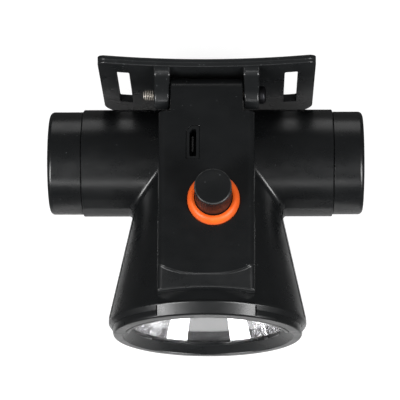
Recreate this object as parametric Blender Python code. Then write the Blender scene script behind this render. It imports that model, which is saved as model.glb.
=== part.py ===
"""Rechargeable LED cap lamp on a tilting forehead bracket.

A battery tube lies across the head, a conical lamp head points forward from its
middle, and a flat-topped spine with the charging port and the push button runs
along the top.  The spine ends in a lug that tilts on a screw between the two ears
of a slightly curved bracket plate with two strap slots.

All sizes are in millimetres in the lamp frame: X along the battery tube, -Y out of
the lens, +Z up, with the tube's axis and the lens's axis crossing at (0, 0, 0).
The finished model is moved so that its origin is the centre of the bracket plate's
rear face, where the forehead or the helmet carries the lamp.
"""

import math

import bmesh
import bpy
from mathutils import Matrix, Vector

MM = 0.001
GAP = 0.3                       # space left between neighbouring pieces
WELD = 0.004                    # points closer than this are one point

# Battery tube and its end caps
TUBE_R = 13.5
TUBE_HALF = 31.4                # middle to the shoulder that each cap meets
BORE_R = 10.4
NECK_R = 11.6
NECK_END = 35.8                 # middle to the end of the neck inside each cap
CAP_R = 13.0
CAP_WALL = 1.8
LEFT_CAP_END = -39.85
RIGHT_CAP_END = 39.0
CAP_EDGE = 1.1                  # rounded outer edge of a cap
CELL_R = 9.2
CELL_LENGTH = 65.0
CELL_LEFT = -30.3
CONTACT_R = 8.6
CONTACT_THICK = 0.55

# Lamp head, a cone about the Y axis (distances are forward of the tube's axis)
CONE_BACK_R = 15.8              # radius level with the tube's axis
BEZEL_R = 24.5
CONE_FRONT_Y = 41.2             # forward end of the cone
BEZEL_Y = 42.1                  # forward end of the short cylinder in front of it
RIM_Y = 45.0                    # front face
RIM_R = 22.3
RIM_STEP_Y = 43.0               # rear of the groove that runs round behind the rim
RIM_STEP_R = 23.7
WINDOW_FRONT_R = 21.2
WINDOW_R = 18.9
LENS_SEAT_Y = 42.2              # the rear of the lip that holds the lens in
LENS_SEAT_R = 20.5
LENS_R = 20.1
LENS_FRONT_Y = 41.9
LENS_BACK_Y = 40.4
REFLECTOR_FRONT_Y = 39.0
REFLECTOR_BACK_Y = 21.0
FLANGE_BACK_Y = 37.9            # rear of the reflector's front flange
BOWL_WIDTH = 18.6               # radius squared over depth, the same all along the mirror
BOWL_VERTEX_Y = 19.8
REFLECTOR_WALL = 1.1
LED_R = 1.9
LED_BOARD_R = 8.0
LED_BOARD_FRONT_Y = 19.2
LED_BOARD_BACK_Y = 17.6
HEAT_SINK_R = 8.6
HEAT_SINK_BACK_Y = 11.8
FIN_FLOOR_Y = 14.6
WALL = 2.0

# Spine along the top
DECK_Z = 26.0
SPINE_HALF = 11.7
SPINE_EDGE = 2.0
SPINE_REAR_Y = 5.4
SPINE_ROOT_Z = 8.0              # sunk into the tube and the cone
SCALLOP_Y = -35.6               # where the deck ends, on the centre line
SCALLOP_RISE = 2.0              # how much earlier it ends at the sides
FASCIA_Y = -38.9
FASCIA_R = 25.2
TAB_HALF = 11.7                 # raised block on the bezel, in line with the spine
TAB_R = 25.0

# Hinge between the lug and the bracket's ears
HINGE_Y = 10.6
HINGE_Z = 22.0
KNUCKLE_R = 4.0
LUG_HALF = 8.75
SCREW_R = 1.25
SCREW_LEFT = -15.6
SCREW_HEAD_R = 2.25
SCREW_HEAD_HEIGHT = 1.7
EAR_IN = 9.05
EAR_OUT = 12.85
EAR_R = 3.5

# Bracket plate
PLATE_Y = 16.0                  # front face on the centre line
PLATE_THICK = 2.0
PLATE_HALF = 26.75
PLATE_TOP = 27.8
PLATE_BOTTOM = -9.5
PLATE_BEND_R = 290.0
PLATE_CHAMFER = 0.9
PLATE_CORNER = 5.0              # lower corners
PLATE_TOP_CORNER = 2.0
PLATE_EDGE = 0.4
GUSSET_LOW_Z = 10.5             # where each ear runs out on the plate
PLATE_CENTRE_Z = 0.5 * (PLATE_TOP + PLATE_BOTTOM)
SLOT_X = 20.85
SLOT_WIDTH = 3.3
SLOT_LOW = -0.7                 # a slot for a strap 20 mm wide
SLOT_HIGH = 21.5

# Push button and charging port in the deck
BUTTON_X = 1.75
BUTTON_Y = -17.25
BUTTON_R = 4.45
BUTTON_TOP = 36.9
BUTTON_BOTTOM = 23.6
RING_R = 6.3
RING_IN = 4.75
RING_TOP = 28.2
PLUNGER_R = 1.6
PLUNGER_BORE_R = 1.95
RING_SEAT_Z = 25.1
PORT_X = -3.3
PORT_Y = -2.8
PORT_LONG = 8.6
PORT_WIDE = 3.3
PORT_BEVEL = 1.3
BOARD_TOP = 17.8
BOARD_THICK = 1.6
BOARD_HALF = 9.0
BOARD_FRONT_Y = -26.5
BOARD_REAR_Y = 2.6
SWITCH_HALF = 3.0
SWITCH_TOP = 22.0
SOCKET_TOP = 25.3

# Screws that hold the two shells together, driven from below
BOSS_X = 12.6
BOSS_Y = -17.0
BOSS_R = 2.6
BOSS_LOW_Z = -14.0
BOSS_TOP_Z = 10.5
HOUSING_SCREW_R = 1.0
HOUSING_HEAD_R = 1.9
RECESS_R = 2.25

# The tube's parting line lies above the axis, the lamp head's lies on it
TUBE_PARTING_Z = 3.6
PARTING_X = 18.8

ROUND = 48                      # facets on large turned surfaces
SMALL_ROUND = 24
SIDES = {"left": -1.0, "right": 1.0}

LAMP_ORIGIN = Vector((0.0, -(PLATE_Y + PLATE_THICK), -PLATE_CENTRE_Z))
HINGE_POINT = Vector((0.0, HINGE_Y, HINGE_Z))
BUTTON_POINT = Vector((BUTTON_X, BUTTON_Y, DECK_Z))
TUBE_POINT = Vector((0.0, 0.0, 0.0))
PLATE_POINT = Vector((0.0, PLATE_Y + PLATE_THICK, PLATE_CENTRE_Z))


# ---------------------------------------------------------------- shape tools

def arc(centre_u, centre_v, radius, start_deg, end_deg, steps):
    """Points along a circular arc in a plane."""
    points = []
    for i in range(steps + 1):
        angle = math.radians(start_deg + (end_deg - start_deg) * i / steps)
        points.append((centre_u + radius * math.cos(angle),
                       centre_v + radius * math.sin(angle)))
    return points


def on_axis(axis, along, u, v):
    """Point with `along` measured on an axis and u, v on the other two, in order."""
    if axis == "X":
        return Vector((along, u, v))
    if axis == "Y":
        return Vector((u, along, v))
    return Vector((u, v, along))


def solid(name, bm):
    """Turn a closed bmesh in millimetres into an object in metres."""
    bmesh.ops.recalc_face_normals(bm, faces=bm.faces)
    bmesh.ops.scale(bm, vec=(MM, MM, MM), verts=bm.verts)
    mesh = bpy.data.meshes.new(name)
    bm.to_mesh(mesh)
    bm.free()
    obj = bpy.data.objects.new(name, mesh)
    bpy.context.scene.collection.objects.link(obj)
    return obj


def lathe(name, profile, axis, segments=ROUND, centre=(0.0, 0.0)):
    """Solid of revolution from (radius, distance along the axis) points.

    A profile whose first and last points have a radius is closed into a ring.
    """
    bm = bmesh.new()
    rings = []
    for radius, along in profile:
        if radius == 0.0:
            rings.append([bm.verts.new(on_axis(axis, along, *centre))])
            continue
        ring = []
        for i in range(segments):
            angle = 2.0 * math.pi * i / segments
            u = centre[0] + radius * math.cos(angle)
            v = centre[1] + radius * math.sin(angle)
            ring.append(bm.verts.new(on_axis(axis, along, u, v)))
        rings.append(ring)
    pairs = list(zip(rings[:-1], rings[1:]))
    if len(rings[0]) > 1 and len(rings[-1]) > 1:
        pairs.append((rings[-1], rings[0]))
    for first, second in pairs:
        for i in range(segments):
            j = (i + 1) % segments
            corners = [first[i % len(first)], first[j % len(first)],
                       second[j % len(second)], second[i % len(second)]]
            unique = list(dict.fromkeys(corners))
            if len(unique) > 2:
                bm.faces.new(unique)
    return solid(name, bm)


def cylinder(name, axis, radius, low, high, centre=(0.0, 0.0), segments=SMALL_ROUND):
    """Plain round bar."""
    profile = [(0.0, low), (radius, low), (radius, high), (0.0, high)]
    return lathe(name, profile, axis, segments, centre)


def ring(name, axis, inner, outer, low, high, centre=(0.0, 0.0), segments=32):
    """Flat washer."""
    profile = [(inner, low), (outer, low), (outer, high), (inner, high)]
    return lathe(name, profile, axis, segments, centre)


def prism(name, outline, axis, low, high):
    """Outline in the plane across an axis, extruded along it."""
    return loft(name, [[on_axis(axis, along, u, v) for u, v in outline]
                       for along in (low, high)])


def box(name, low, high):
    """Block between two corners."""
    outline = [(low[0], low[1]), (high[0], low[1]), (high[0], high[1]), (low[0], high[1])]
    return prism(name, outline, "Z", low[2], high[2])


def loft(name, sections):
    """Solid through closed sections that have equal numbers of points."""
    bm = bmesh.new()
    loops = [[bm.verts.new(point) for point in section] for section in sections]
    count = len(loops[0])
    for first, second in zip(loops[:-1], loops[1:]):
        for i in range(count):
            j = (i + 1) % count
            bm.faces.new((first[i], first[j], second[j], second[i]))
    bm.faces.new(loops[0])
    bm.faces.new(loops[-1])
    return solid(name, bm)


def tube_along(name, points, radius, sides=8):
    """Round wire through points, with flat ends."""
    sections = []
    path = [Vector(point) for point in points]
    side = Vector((0.0, 1.0, 0.0))
    for i, point in enumerate(path):
        tangent = (path[min(i + 1, len(path) - 1)] - path[max(i - 1, 0)]).normalized()
        side = (side - tangent * side.dot(tangent)).normalized()
        across = tangent.cross(side)
        section = []
        for k in range(sides):
            angle = 2.0 * math.pi * k / sides
            section.append(point + radius * (side * math.cos(angle) + across * math.sin(angle)))
        sections.append(section)
    return loft(name, sections)


def weld(mesh):
    """Merge the near-zero slivers that a cut can leave."""
    bm = bmesh.new()
    bm.from_mesh(mesh)
    bmesh.ops.remove_doubles(bm, verts=bm.verts, dist=WELD * MM)
    bmesh.ops.dissolve_degenerate(bm, dist=WELD * MM, edges=bm.edges)
    bm.to_mesh(mesh)
    bm.free()


def boolean(target, tool, operation):
    """Apply one exact Boolean to the target and delete the tool."""
    modifier = target.modifiers.new("boolean", "BOOLEAN")
    modifier.operation = operation
    modifier.solver = "EXACT"
    modifier.object = tool
    depsgraph = bpy.context.evaluated_depsgraph_get()
    result = bpy.data.meshes.new_from_object(target.evaluated_get(depsgraph))
    target.modifiers.clear()
    old = target.data
    target.data = result
    bpy.data.meshes.remove(old)
    bpy.data.objects.remove(tool)
    weld(result)
    return target


def union(target, *tools):
    """Join tools to the target."""
    for tool in tools:
        boolean(target, tool, "UNION")
    return target


def cut(target, *tools):
    """Cut tools out of the target."""
    for tool in tools:
        boolean(target, tool, "DIFFERENCE")
    return target


def copy_of(obj, name):
    """Separate copy of an object with its own mesh."""
    twin = obj.copy()
    twin.data = obj.data.copy()
    twin.name = name
    bpy.context.scene.collection.objects.link(twin)
    return twin


# ------------------------------------------------------------------ materials

def material(name, colour, roughness, metallic=0.0):
    """Principled material with one colour."""
    result = bpy.data.materials.new(name)
    result.use_nodes = True
    shader = result.node_tree.nodes["Principled BSDF"]
    shader.inputs["Base Color"].default_value = (*colour, 1.0)
    shader.inputs["Roughness"].default_value = roughness
    shader.inputs["Metallic"].default_value = metallic
    return result


def make_materials():
    """Every material of the lamp by a short name."""
    return {
        "shell": material("black_shell", (0.018, 0.018, 0.020), 0.38),
        "cap": material("black_cap", (0.020, 0.020, 0.022), 0.36),
        "bracket": material("black_bracket", (0.016, 0.016, 0.018), 0.40),
        "button": material("black_button", (0.022, 0.023, 0.025), 0.45),
        "orange": material("orange_rubber", (0.86, 0.17, 0.02), 0.5),
        "rubber": material("black_rubber", (0.02, 0.02, 0.02), 0.7),
        "clear": material("clear_window", (0.9, 0.92, 0.93), 0.05),
        "mirror": material("reflector_mirror", (0.9, 0.9, 0.91), 0.12, 1.0),
        "steel": material("screw_steel", (0.55, 0.52, 0.48), 0.3, 1.0),
        "nickel": material("nickel_contact", (0.62, 0.60, 0.55), 0.3, 1.0),
        "aluminium": material("heat_sink_aluminium", (0.6, 0.61, 0.62), 0.4, 1.0),
        "cell": material("cell_wrap", (0.05, 0.16, 0.42), 0.4),
        "board": material("green_board", (0.02, 0.14, 0.06), 0.5),
        "led": material("led_phosphor", (0.85, 0.75, 0.25), 0.3),
        "wire": material("wire_cover", (0.6, 0.03, 0.02), 0.5),
    }


# -------------------------------------------------------------- housing solids

def head_solid():
    """Outside of the lamp head with its grooved bezel, without the spine."""
    profile = [
        (0.0, 7.0), (8.5, 7.0), (12.0, 5.4), (14.6, 2.6), (CONE_BACK_R, 0.0),
        (BEZEL_R, -CONE_FRONT_Y), (BEZEL_R, -BEZEL_Y), (RIM_STEP_R, -RIM_STEP_Y),
        (RIM_STEP_R - 0.3, -RIM_Y + 0.7), (RIM_R, -RIM_Y), (0.0, -RIM_Y),
    ]
    return lathe("head", profile, "Y")


def deck_height(x):
    """Height of the deck with its rounded side edges."""
    over = abs(x) - (SPINE_HALF - SPINE_EDGE)
    if over <= 0.0:
        return DECK_Z
    return DECK_Z - SPINE_EDGE + math.sqrt(max(SPINE_EDGE ** 2 - over ** 2, 0.0))


def spine_solid():
    """Flat-topped spine; its front end is scooped down to an arc round the lens axis."""
    flat = SPINE_HALF - SPINE_EDGE
    stations = [flat * i / 6 for i in range(-6, 7)]
    for angle_deg in (25.0, 50.0, 72.0, 90.0):
        reach = flat + SPINE_EDGE * math.sin(math.radians(angle_deg))
        stations = [-reach] + stations + [reach]
    sections = []
    for x in stations:
        scallop = SCALLOP_Y + SCALLOP_RISE * (abs(x) / SPINE_HALF) ** 3
        top = deck_height(x)
        lip = min(math.sqrt(FASCIA_R ** 2 - x ** 2), top - 0.2)
        outline = [
            (SPINE_REAR_Y, SPINE_ROOT_Z), (SPINE_REAR_Y, top), (scallop, top),
            (FASCIA_Y + 0.5, lip), (FASCIA_Y, lip - 0.4), (FASCIA_Y, SPINE_ROOT_Z),
        ]
        sections.append([Vector((x, y, z)) for y, z in outline])
    return loft("spine", sections)


def lug_solid():
    """Rear lug whose knuckle turns between the bracket's ears."""
    outline = [(0.0, SPINE_ROOT_Z + 2.0), (0.0, DECK_Z), (HINGE_Y, DECK_Z)]
    outline += arc(HINGE_Y, HINGE_Z, KNUCKLE_R, 90.0, -90.0, 10)[1:]
    outline += [(HINGE_Y - 1.2, SPINE_ROOT_Z), (SPINE_REAR_Y + 0.6, SPINE_ROOT_Z)]
    return prism("lug", outline, "X", -LUG_HALF, LUG_HALF)


def tab_solid():
    """Raised block that carries the spine's line across the grooved bezel."""
    root = LENS_SEAT_R
    profile = [(root, -BEZEL_Y + 0.2), (TAB_R, -BEZEL_Y + 0.2), (TAB_R, -BEZEL_Y - 0.3),
               (RIM_R + 0.25, -RIM_Y), (root, -RIM_Y)]
    tab = lathe("tab", profile, "Y")
    return boolean(tab, box("tab_limits", (-TAB_HALF, -50.0, 10.0), (TAB_HALF, -40.0, 30.0)),
                   "INTERSECT")


def outside_solid():
    """Whole outside of the joined shells."""
    profile = [(0.0, -NECK_END), (NECK_R, -NECK_END), (NECK_R, -TUBE_HALF), (TUBE_R, -TUBE_HALF),
               (TUBE_R, TUBE_HALF), (NECK_R, TUBE_HALF), (NECK_R, NECK_END), (0.0, NECK_END)]
    tube = lathe("outside", profile, "X", 64)
    return union(tube, head_solid(), spine_solid(), lug_solid(), tab_solid())


def boss_columns():
    """Solid columns that the housing screws run through."""
    return [cylinder("boss", "Z", BOSS_R, BOSS_LOW_Z, BOSS_TOP_Z, (side * BOSS_X, BOSS_Y))
            for side in (-1.0, 1.0)]


def cavity_solid():
    """Room inside the shells for the cell, the board, the reflector and the lens."""
    seat_depth = 9.2
    profile = [(0.0, 5.0), (7.0, 5.0), (CONE_BACK_R - WALL, 0.0),
               (LENS_SEAT_R, seat_depth - LENS_SEAT_Y),
               (LENS_SEAT_R, -LENS_SEAT_Y), (0.0, -LENS_SEAT_Y)]
    cavity = lathe("cavity", profile, "Y")
    cell_bore = cylinder("cell_bore", "X", BORE_R, -NECK_END - 1.0, NECK_END + 1.0, segments=ROUND)
    under_deck = box("under_deck", (WALL - SPINE_HALF, -36.0, 4.0),
                     (SPINE_HALF - WALL, SPINE_REAR_Y - WALL, DECK_Z - WALL))
    union(cavity, cell_bore, under_deck)
    return cut(cavity, *boss_columns())


def window_cutter():
    """Opening in front of the lens, wider at the rim."""
    profile = [(0.0, -LENS_SEAT_Y + 0.5), (WINDOW_R, -LENS_SEAT_Y + 0.5),
               (WINDOW_R, -LENS_SEAT_Y - 0.7),
               (WINDOW_FRONT_R, -RIM_Y), (WINDOW_FRONT_R, -RIM_Y - 1.0), (0.0, -RIM_Y - 1.0)]
    return lathe("window", profile, "Y")


def port_outline(inset):
    """Outline of the charging port with its one bevelled corner, drawn in by an inset."""
    low_x = PORT_X - 0.5 * PORT_WIDE + inset
    high_x = PORT_X + 0.5 * PORT_WIDE - inset
    low_y = PORT_Y - 0.5 * PORT_LONG + inset
    high_y = PORT_Y + 0.5 * PORT_LONG - inset
    bevel = PORT_BEVEL - 0.59 * inset
    return [(low_x, low_y), (high_x, low_y), (high_x, high_y), (low_x + bevel, high_y),
            (low_x, high_y - bevel)]


def deck_cutters():
    """Openings in the deck: charging port, button shaft and the collar's seat."""
    centre = (BUTTON_X, BUTTON_Y)
    under_deck = DECK_Z - 2.0 * WALL
    return [
        prism("port", port_outline(0.0), "Z", under_deck, DECK_Z + 1.0),
        cylinder("button_shaft", "Z", BUTTON_R + 0.35, under_deck, DECK_Z + 1.0, centre, 32),
        cylinder("collar_seat", "Z", RING_R + 0.35, RING_SEAT_Z, DECK_Z + 1.0, centre, 32),
    ]


def screw_cutters():
    """Hinge bore, and the holes and head recesses of the housing screws."""
    cutters = [cylinder("hinge_bore", "X", SCREW_R + GAP, -12.0, 12.0, (HINGE_Y, HINGE_Z))]
    for side in (-1.0, 1.0):
        place = (side * BOSS_X, BOSS_Y)
        cutters.append(cylinder("screw_hole", "Z", HOUSING_SCREW_R + GAP, -12.0, 9.0, place))
        cutters.append(cylinder("head_recess", "Z", RECESS_R, -20.0, -11.0, place))
    return cutters


def parting_block(top):
    """Half of space, bounded by the stepped parting surface."""
    shift = 0.5 * GAP if top else -0.5 * GAP
    far = 60.0 if top else -60.0
    step_x = PARTING_X - shift
    outline = [(-60.0, TUBE_PARTING_Z + shift), (-step_x, TUBE_PARTING_Z + shift),
               (-step_x, shift), (step_x, shift), (step_x, TUBE_PARTING_Z + shift),
               (60.0, TUBE_PARTING_Z + shift), (60.0, far), (-60.0, far)]
    return prism("parting", outline, "Y", -60.0, 60.0)


def make_housings():
    """Upper and lower shells."""
    whole = outside_solid()
    cut(whole, cavity_solid(), window_cutter(), *deck_cutters(), *screw_cutters())
    lower = copy_of(whole, "lower_housing")
    whole.name = "upper_housing"
    boolean(whole, parting_block(True), "INTERSECT")
    boolean(lower, parting_block(False), "INTERSECT")
    return whole, lower


def make_housing_screws():
    """Screws driven up from below that hold the two shells together."""
    profile = [(0.0, -12.7), (HOUSING_HEAD_R - 0.4, -12.7), (HOUSING_HEAD_R, -12.3),
               (HOUSING_HEAD_R, -11.3), (HOUSING_SCREW_R, -11.3), (HOUSING_SCREW_R, 7.5),
               (0.0, 8.2)]
    screws = {}
    for label, side in SIDES.items():
        name = label + "_housing_screw"
        screws[name] = (lathe(name, profile, "Z", 16, (side * BOSS_X, BOSS_Y)), "steel")
    return screws


# ------------------------------------------------------------- optics and LED

def bowl_radius(forward):
    """Mirror surface of the reflector, a paraboloid."""
    return math.sqrt(BOWL_WIDTH * max(forward - BOWL_VERTEX_Y, 0.0))


def make_reflector():
    """Reflector bowl with a front flange and a hole for the LED."""
    depth = REFLECTOR_FRONT_Y - REFLECTOR_BACK_Y
    stations = [REFLECTOR_BACK_Y + depth * share ** 1.5 for share in (0.0, 0.2, 0.4, 0.6, 0.8, 1.0)]
    inside = [(bowl_radius(y), -y) for y in stations]
    outside = [(bowl_radius(y) + REFLECTOR_WALL, -y) for y in stations[:-1]]
    flange_root = bowl_radius(FLANGE_BACK_Y) + 0.25
    flange = [(LENS_R, -REFLECTOR_FRONT_Y), (LENS_R, -FLANGE_BACK_Y), (flange_root, -FLANGE_BACK_Y)]
    return lathe("reflector", inside + flange + outside[::-1], "Y", 32)


def make_optics():
    """Lens, its gasket, the reflector and the LED with its board and heat sink."""
    seat = LED_BOARD_FRONT_Y + GAP
    emitter = [(0.0, -seat - 2.4), (LED_R - 0.6, -seat - 2.1), (LED_R, -seat - 1.3),
               (LED_R, -seat - 0.7), (LED_R + 0.4, -seat - 0.7), (LED_R + 0.4, -seat),
               (0.0, -seat)]
    lens = [(0.0, -LENS_FRONT_Y), (LENS_R - 0.4, -LENS_FRONT_Y), (LENS_R, -LENS_FRONT_Y + 0.4),
            (LENS_R, -LENS_BACK_Y), (0.0, -LENS_BACK_Y)]
    return {
        "lens": (lathe("lens", lens, "Y"), "clear"),
        "lens_gasket": (ring("lens_gasket", "Y", WINDOW_R - 0.2, LENS_R, GAP - LENS_BACK_Y,
                             -REFLECTOR_FRONT_Y - GAP), "rubber"),
        "reflector": (make_reflector(), "mirror"),
        "led_emitter": (lathe("led_emitter", emitter, "Y", SMALL_ROUND), "led"),
        "led_board": (cylinder("led_board", "Y", LED_BOARD_R, -LED_BOARD_FRONT_Y,
                               -LED_BOARD_BACK_Y), "board"),
        "heat_sink": (make_heat_sink(), "aluminium"),
    }


def make_heat_sink():
    """Finned aluminium disc behind the LED's board."""
    sink = cylinder("heat_sink", "Y", HEAT_SINK_R, GAP - LED_BOARD_BACK_Y, -HEAT_SINK_BACK_Y,
                    segments=32)
    half_gap = 0.8
    for height in (-6.0, -2.0, 2.0, 6.0):
        cut(sink, box("fin_gap", (-10.0, -FIN_FLOOR_Y, height - half_gap),
                      (10.0, -10.0, height + half_gap)))
    return sink


# ------------------------------------------------------ board, switch, button

def make_electronics():
    """Driver board, charging socket and switch under the deck."""
    board_low = BOARD_TOP - BOARD_THICK
    board = box("driver_board", (-BOARD_HALF, BOARD_FRONT_Y, board_low),
                (BOARD_HALF, BOARD_REAR_Y, BOARD_TOP))
    shell = prism("usb_socket", port_outline(GAP), "Z", BOARD_TOP + GAP, SOCKET_TOP)
    cut(shell, prism("mouth", port_outline(2.0 * GAP), "Z", 19.0, DECK_Z))
    tongue = box("usb_tongue", (PORT_X - 0.35, PORT_Y - 1.9, 19.3),
                 (PORT_X + 0.2, PORT_Y + 1.9, 24.6))
    switch = box("switch_body",
                 (BUTTON_X - SWITCH_HALF, BUTTON_Y - SWITCH_HALF, BOARD_TOP + GAP),
                 (BUTTON_X + SWITCH_HALF, BUTTON_Y + SWITCH_HALF, SWITCH_TOP))
    cut(switch, cylinder("plunger_bore", "Z", PLUNGER_BORE_R, 19.6, SWITCH_TOP + 1.0,
                         (BUTTON_X, BUTTON_Y)))
    return {
        "driver_board": (board, "board"),
        "usb_socket": (shell, "nickel"),
        "usb_tongue": (tongue, "rubber"),
        "switch_body": (switch, "rubber"),
    }


def make_button():
    """Tall push button and the switch plunger that it carries."""
    edge = 0.5
    bore_top = 29.0
    top_edge = arc(BUTTON_R - edge, BUTTON_TOP - edge, edge, 0.0, 90.0, 3)
    profile = [(0.0, bore_top), (PLUNGER_BORE_R, bore_top), (PLUNGER_BORE_R, BUTTON_BOTTOM),
               (BUTTON_R, BUTTON_BOTTOM), *top_edge, (0.0, BUTTON_TOP)]
    centre = (BUTTON_X, BUTTON_Y)
    cap = lathe("button_cap", profile, "Z", 32, centre)
    plunger = cylinder("switch_plunger", "Z", PLUNGER_R, 21.2, bore_top - 0.4, centre)
    return cap, plunger


def make_button_ring():
    """Soft collar round the button, highest at its inner edge."""
    profile = [(RING_IN, RING_SEAT_Z + GAP), (RING_R, RING_SEAT_Z + GAP), (RING_R, DECK_Z + 0.4),
               (RING_R - 0.3, RING_TOP - 1.0), (RING_R - 0.8, RING_TOP - 0.3),
               (RING_IN + 0.25, RING_TOP), (RING_IN, RING_TOP - 0.2)]
    return lathe("button_ring", profile, "Z", 32, (BUTTON_X, BUTTON_Y))


# -------------------------------------------------------------- battery pieces

def make_cell():
    """Round lithium cell with its raised positive end."""
    right = CELL_LEFT + CELL_LENGTH
    profile = [(0.0, CELL_LEFT), (CELL_R - 0.5, CELL_LEFT), (CELL_R, CELL_LEFT + 0.5),
               (CELL_R, right - 2.0), (CELL_R - 0.8, right - 1.2), (3.0, right - 1.2),
               (3.0, right), (0.0, right)]
    return lathe("battery_cell", profile, "X", 32)


def make_cell_spring():
    """Conical contact spring between the negative contact and the cell."""
    turns = 3
    steps = 12
    wire = 0.35
    low = LEFT_CAP_END + CAP_WALL + 2.0 * GAP + CONTACT_THICK + wire
    high = CELL_LEFT - GAP - wire
    points = []
    for i in range(turns * steps + 1):
        share = i / (turns * steps)
        angle = 2.0 * math.pi * turns * share
        radius = 5.6 - 1.6 * share
        points.append((low + (high - low) * share, radius * math.cos(angle),
                       radius * math.sin(angle)))
    return tube_along("cell_spring", points, wire, 5)


def make_contacts():
    """Contact discs on the insides of the two caps; the positive one has a raised nub."""
    left = LEFT_CAP_END + CAP_WALL + GAP
    right = RIGHT_CAP_END - CAP_WALL - GAP
    nub = CELL_LEFT + CELL_LENGTH + GAP
    nub_r = 2.5
    nub_profile = [(0.0, nub), (nub_r, nub), (nub_r, right - CONTACT_THICK),
                   (CONTACT_R, right - CONTACT_THICK), (CONTACT_R, right), (0.0, right)]
    negative = cylinder("negative_contact", "X", CONTACT_R, left, left + CONTACT_THICK)
    positive = lathe("positive_contact", nub_profile, "X", SMALL_ROUND)
    return negative, positive


def make_leads():
    """Wires from the battery contacts, and from the LED, to the driver board."""
    wire_z = 9.8
    board_low = BOARD_TOP - BOARD_THICK - GAP
    leads = {}
    for label, side in SIDES.items():
        battery_path = [
            (side * 34.6, 0.0, wire_z), (side * 24.0, 0.0, wire_z), (side * 12.0, 0.0, wire_z),
            (side * 9.0, 0.0, wire_z + 0.5), (side * 7.4, 0.0, wire_z + 2.2),
            (side * 7.0, 0.0, board_low - 0.3),
        ]
        led_path = [
            (side * 3.4, -20.3, 6.6), (side * 3.5, -20.6, 8.2), (side * 3.7, -20.3, 9.4),
            (side * 3.9, -19.6, 11.0), (side * 4.0, -19.2, 13.0),
            (side * 4.0, -19.0, board_low - 0.3),
        ]
        leads[label + "_battery_lead"] = (tube_along("lead", battery_path, 0.28, 6), "wire")
        leads[label + "_led_lead"] = (tube_along("lead", led_path, 0.45, 8), "wire")
    return leads


def make_battery():
    """Cell and its leads; the contacts and the spring ride in the caps."""
    pieces = {"battery_cell": (make_cell(), "cell")}
    pieces.update(make_leads())
    return pieces


def make_end_cap(name, outer_end):
    """Screw cap that slips over the tube's neck; outer_end is its X position."""
    side = math.copysign(1.0, outer_end)
    end = abs(outer_end)
    mouth = TUBE_HALF + GAP
    inside = end - CAP_WALL
    edge = [(CAP_R - CAP_EDGE + CAP_EDGE * math.sin(a), end - CAP_EDGE + CAP_EDGE * math.cos(a))
            for a in (math.radians(90.0 - 30.0 * i) for i in range(4))]
    profile = [(NECK_R + 0.35, mouth), (CAP_R, mouth), *edge, (0.0, end), (0.0, inside),
               (NECK_R + 0.35, inside)]
    return lathe(name, [(radius, side * along) for radius, along in profile], "X")


def make_cap_gasket(name, outer_end):
    """Flat seal between the neck's end and the bottom of the cap."""
    side = math.copysign(1.0, outer_end)
    outer = abs(outer_end) - CAP_WALL - GAP
    inner = NECK_END + GAP
    return ring(name, "X", BORE_R, NECK_R, side * inner, side * outer)


# ---------------------------------------------------------------- the bracket

def plate_front(x):
    """Y of the bracket plate's front face, bent back towards its ends."""
    return PLATE_Y + PLATE_BEND_R - math.sqrt(PLATE_BEND_R ** 2 - x ** 2)


def plate_edge(x, corner):
    """How far a rounded corner of the given radius trims the plate's edge at x."""
    over = abs(x) - (PLATE_HALF - corner)
    if over <= 0.0:
        return 0.0
    return corner - math.sqrt(max(corner ** 2 - over ** 2, 0.0))


def plate_stations():
    """X stations across the plate, closer together round its corners."""
    straight = PLATE_HALF - PLATE_CORNER
    stations = [straight * i / 9 for i in range(-9, 10)]
    for angle_deg in (12.0, 25.0, 40.0, 55.0, 70.0, 84.0):
        reach = straight + PLATE_CORNER * math.sin(math.radians(angle_deg))
        stations = [-reach] + stations + [reach]
    return stations


def make_plate():
    """Curved plate with rounded corners and a chamfered front top edge."""
    sections = []
    for x in plate_stations():
        front = plate_front(x)
        rear = front + PLATE_THICK
        top = PLATE_TOP - plate_edge(x, PLATE_TOP_CORNER)
        bottom = PLATE_BOTTOM + plate_edge(x, PLATE_CORNER)
        outline = [
            (front, bottom + PLATE_EDGE), (front, top - PLATE_CHAMFER),
            (front + PLATE_CHAMFER, top), (rear - PLATE_EDGE, top), (rear, top - PLATE_EDGE),
            (rear, bottom + PLATE_EDGE), (rear - PLATE_EDGE, bottom), (front + PLATE_EDGE, bottom),
        ]
        sections.append([Vector((x, y, z)) for y, z in outline])
    return loft("bracket_plate", sections)


def ear_solid(side):
    """Ear with a round end on the hinge axis and a gusset down the plate."""
    outline = [(PLATE_Y + 1.0, HINGE_Z + EAR_R + 0.8), (PLATE_Y - 0.8, HINGE_Z + EAR_R)]
    outline += arc(HINGE_Y, HINGE_Z, EAR_R, 90.0, 270.0, 12)
    outline += [(HINGE_Y + 1.5, HINGE_Z - EAR_R), (PLATE_Y - 0.6, GUSSET_LOW_Z + 2.5),
                (PLATE_Y, GUSSET_LOW_Z), (PLATE_Y + 1.0, GUSSET_LOW_Z)]
    low, high = sorted((side * EAR_IN, side * EAR_OUT))
    return prism("ear", outline, "X", low, high)


def make_bracket():
    """Bracket plate with its two ears, strap slots and hinge bores."""
    bracket = union(make_plate(), ear_solid(-1.0), ear_solid(1.0))
    for side in (-1.0, 1.0):
        low, high = sorted((side * (SLOT_X - 0.5 * SLOT_WIDTH), side * (SLOT_X + 0.5 * SLOT_WIDTH)))
        cut(bracket, box("slot", (low, 10.0, SLOT_LOW), (high, 25.0, SLOT_HIGH)))
    return cut(bracket, cylinder("ear_bore", "X", SCREW_R + GAP, -20.0, 20.0, (HINGE_Y, HINGE_Z)))


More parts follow.
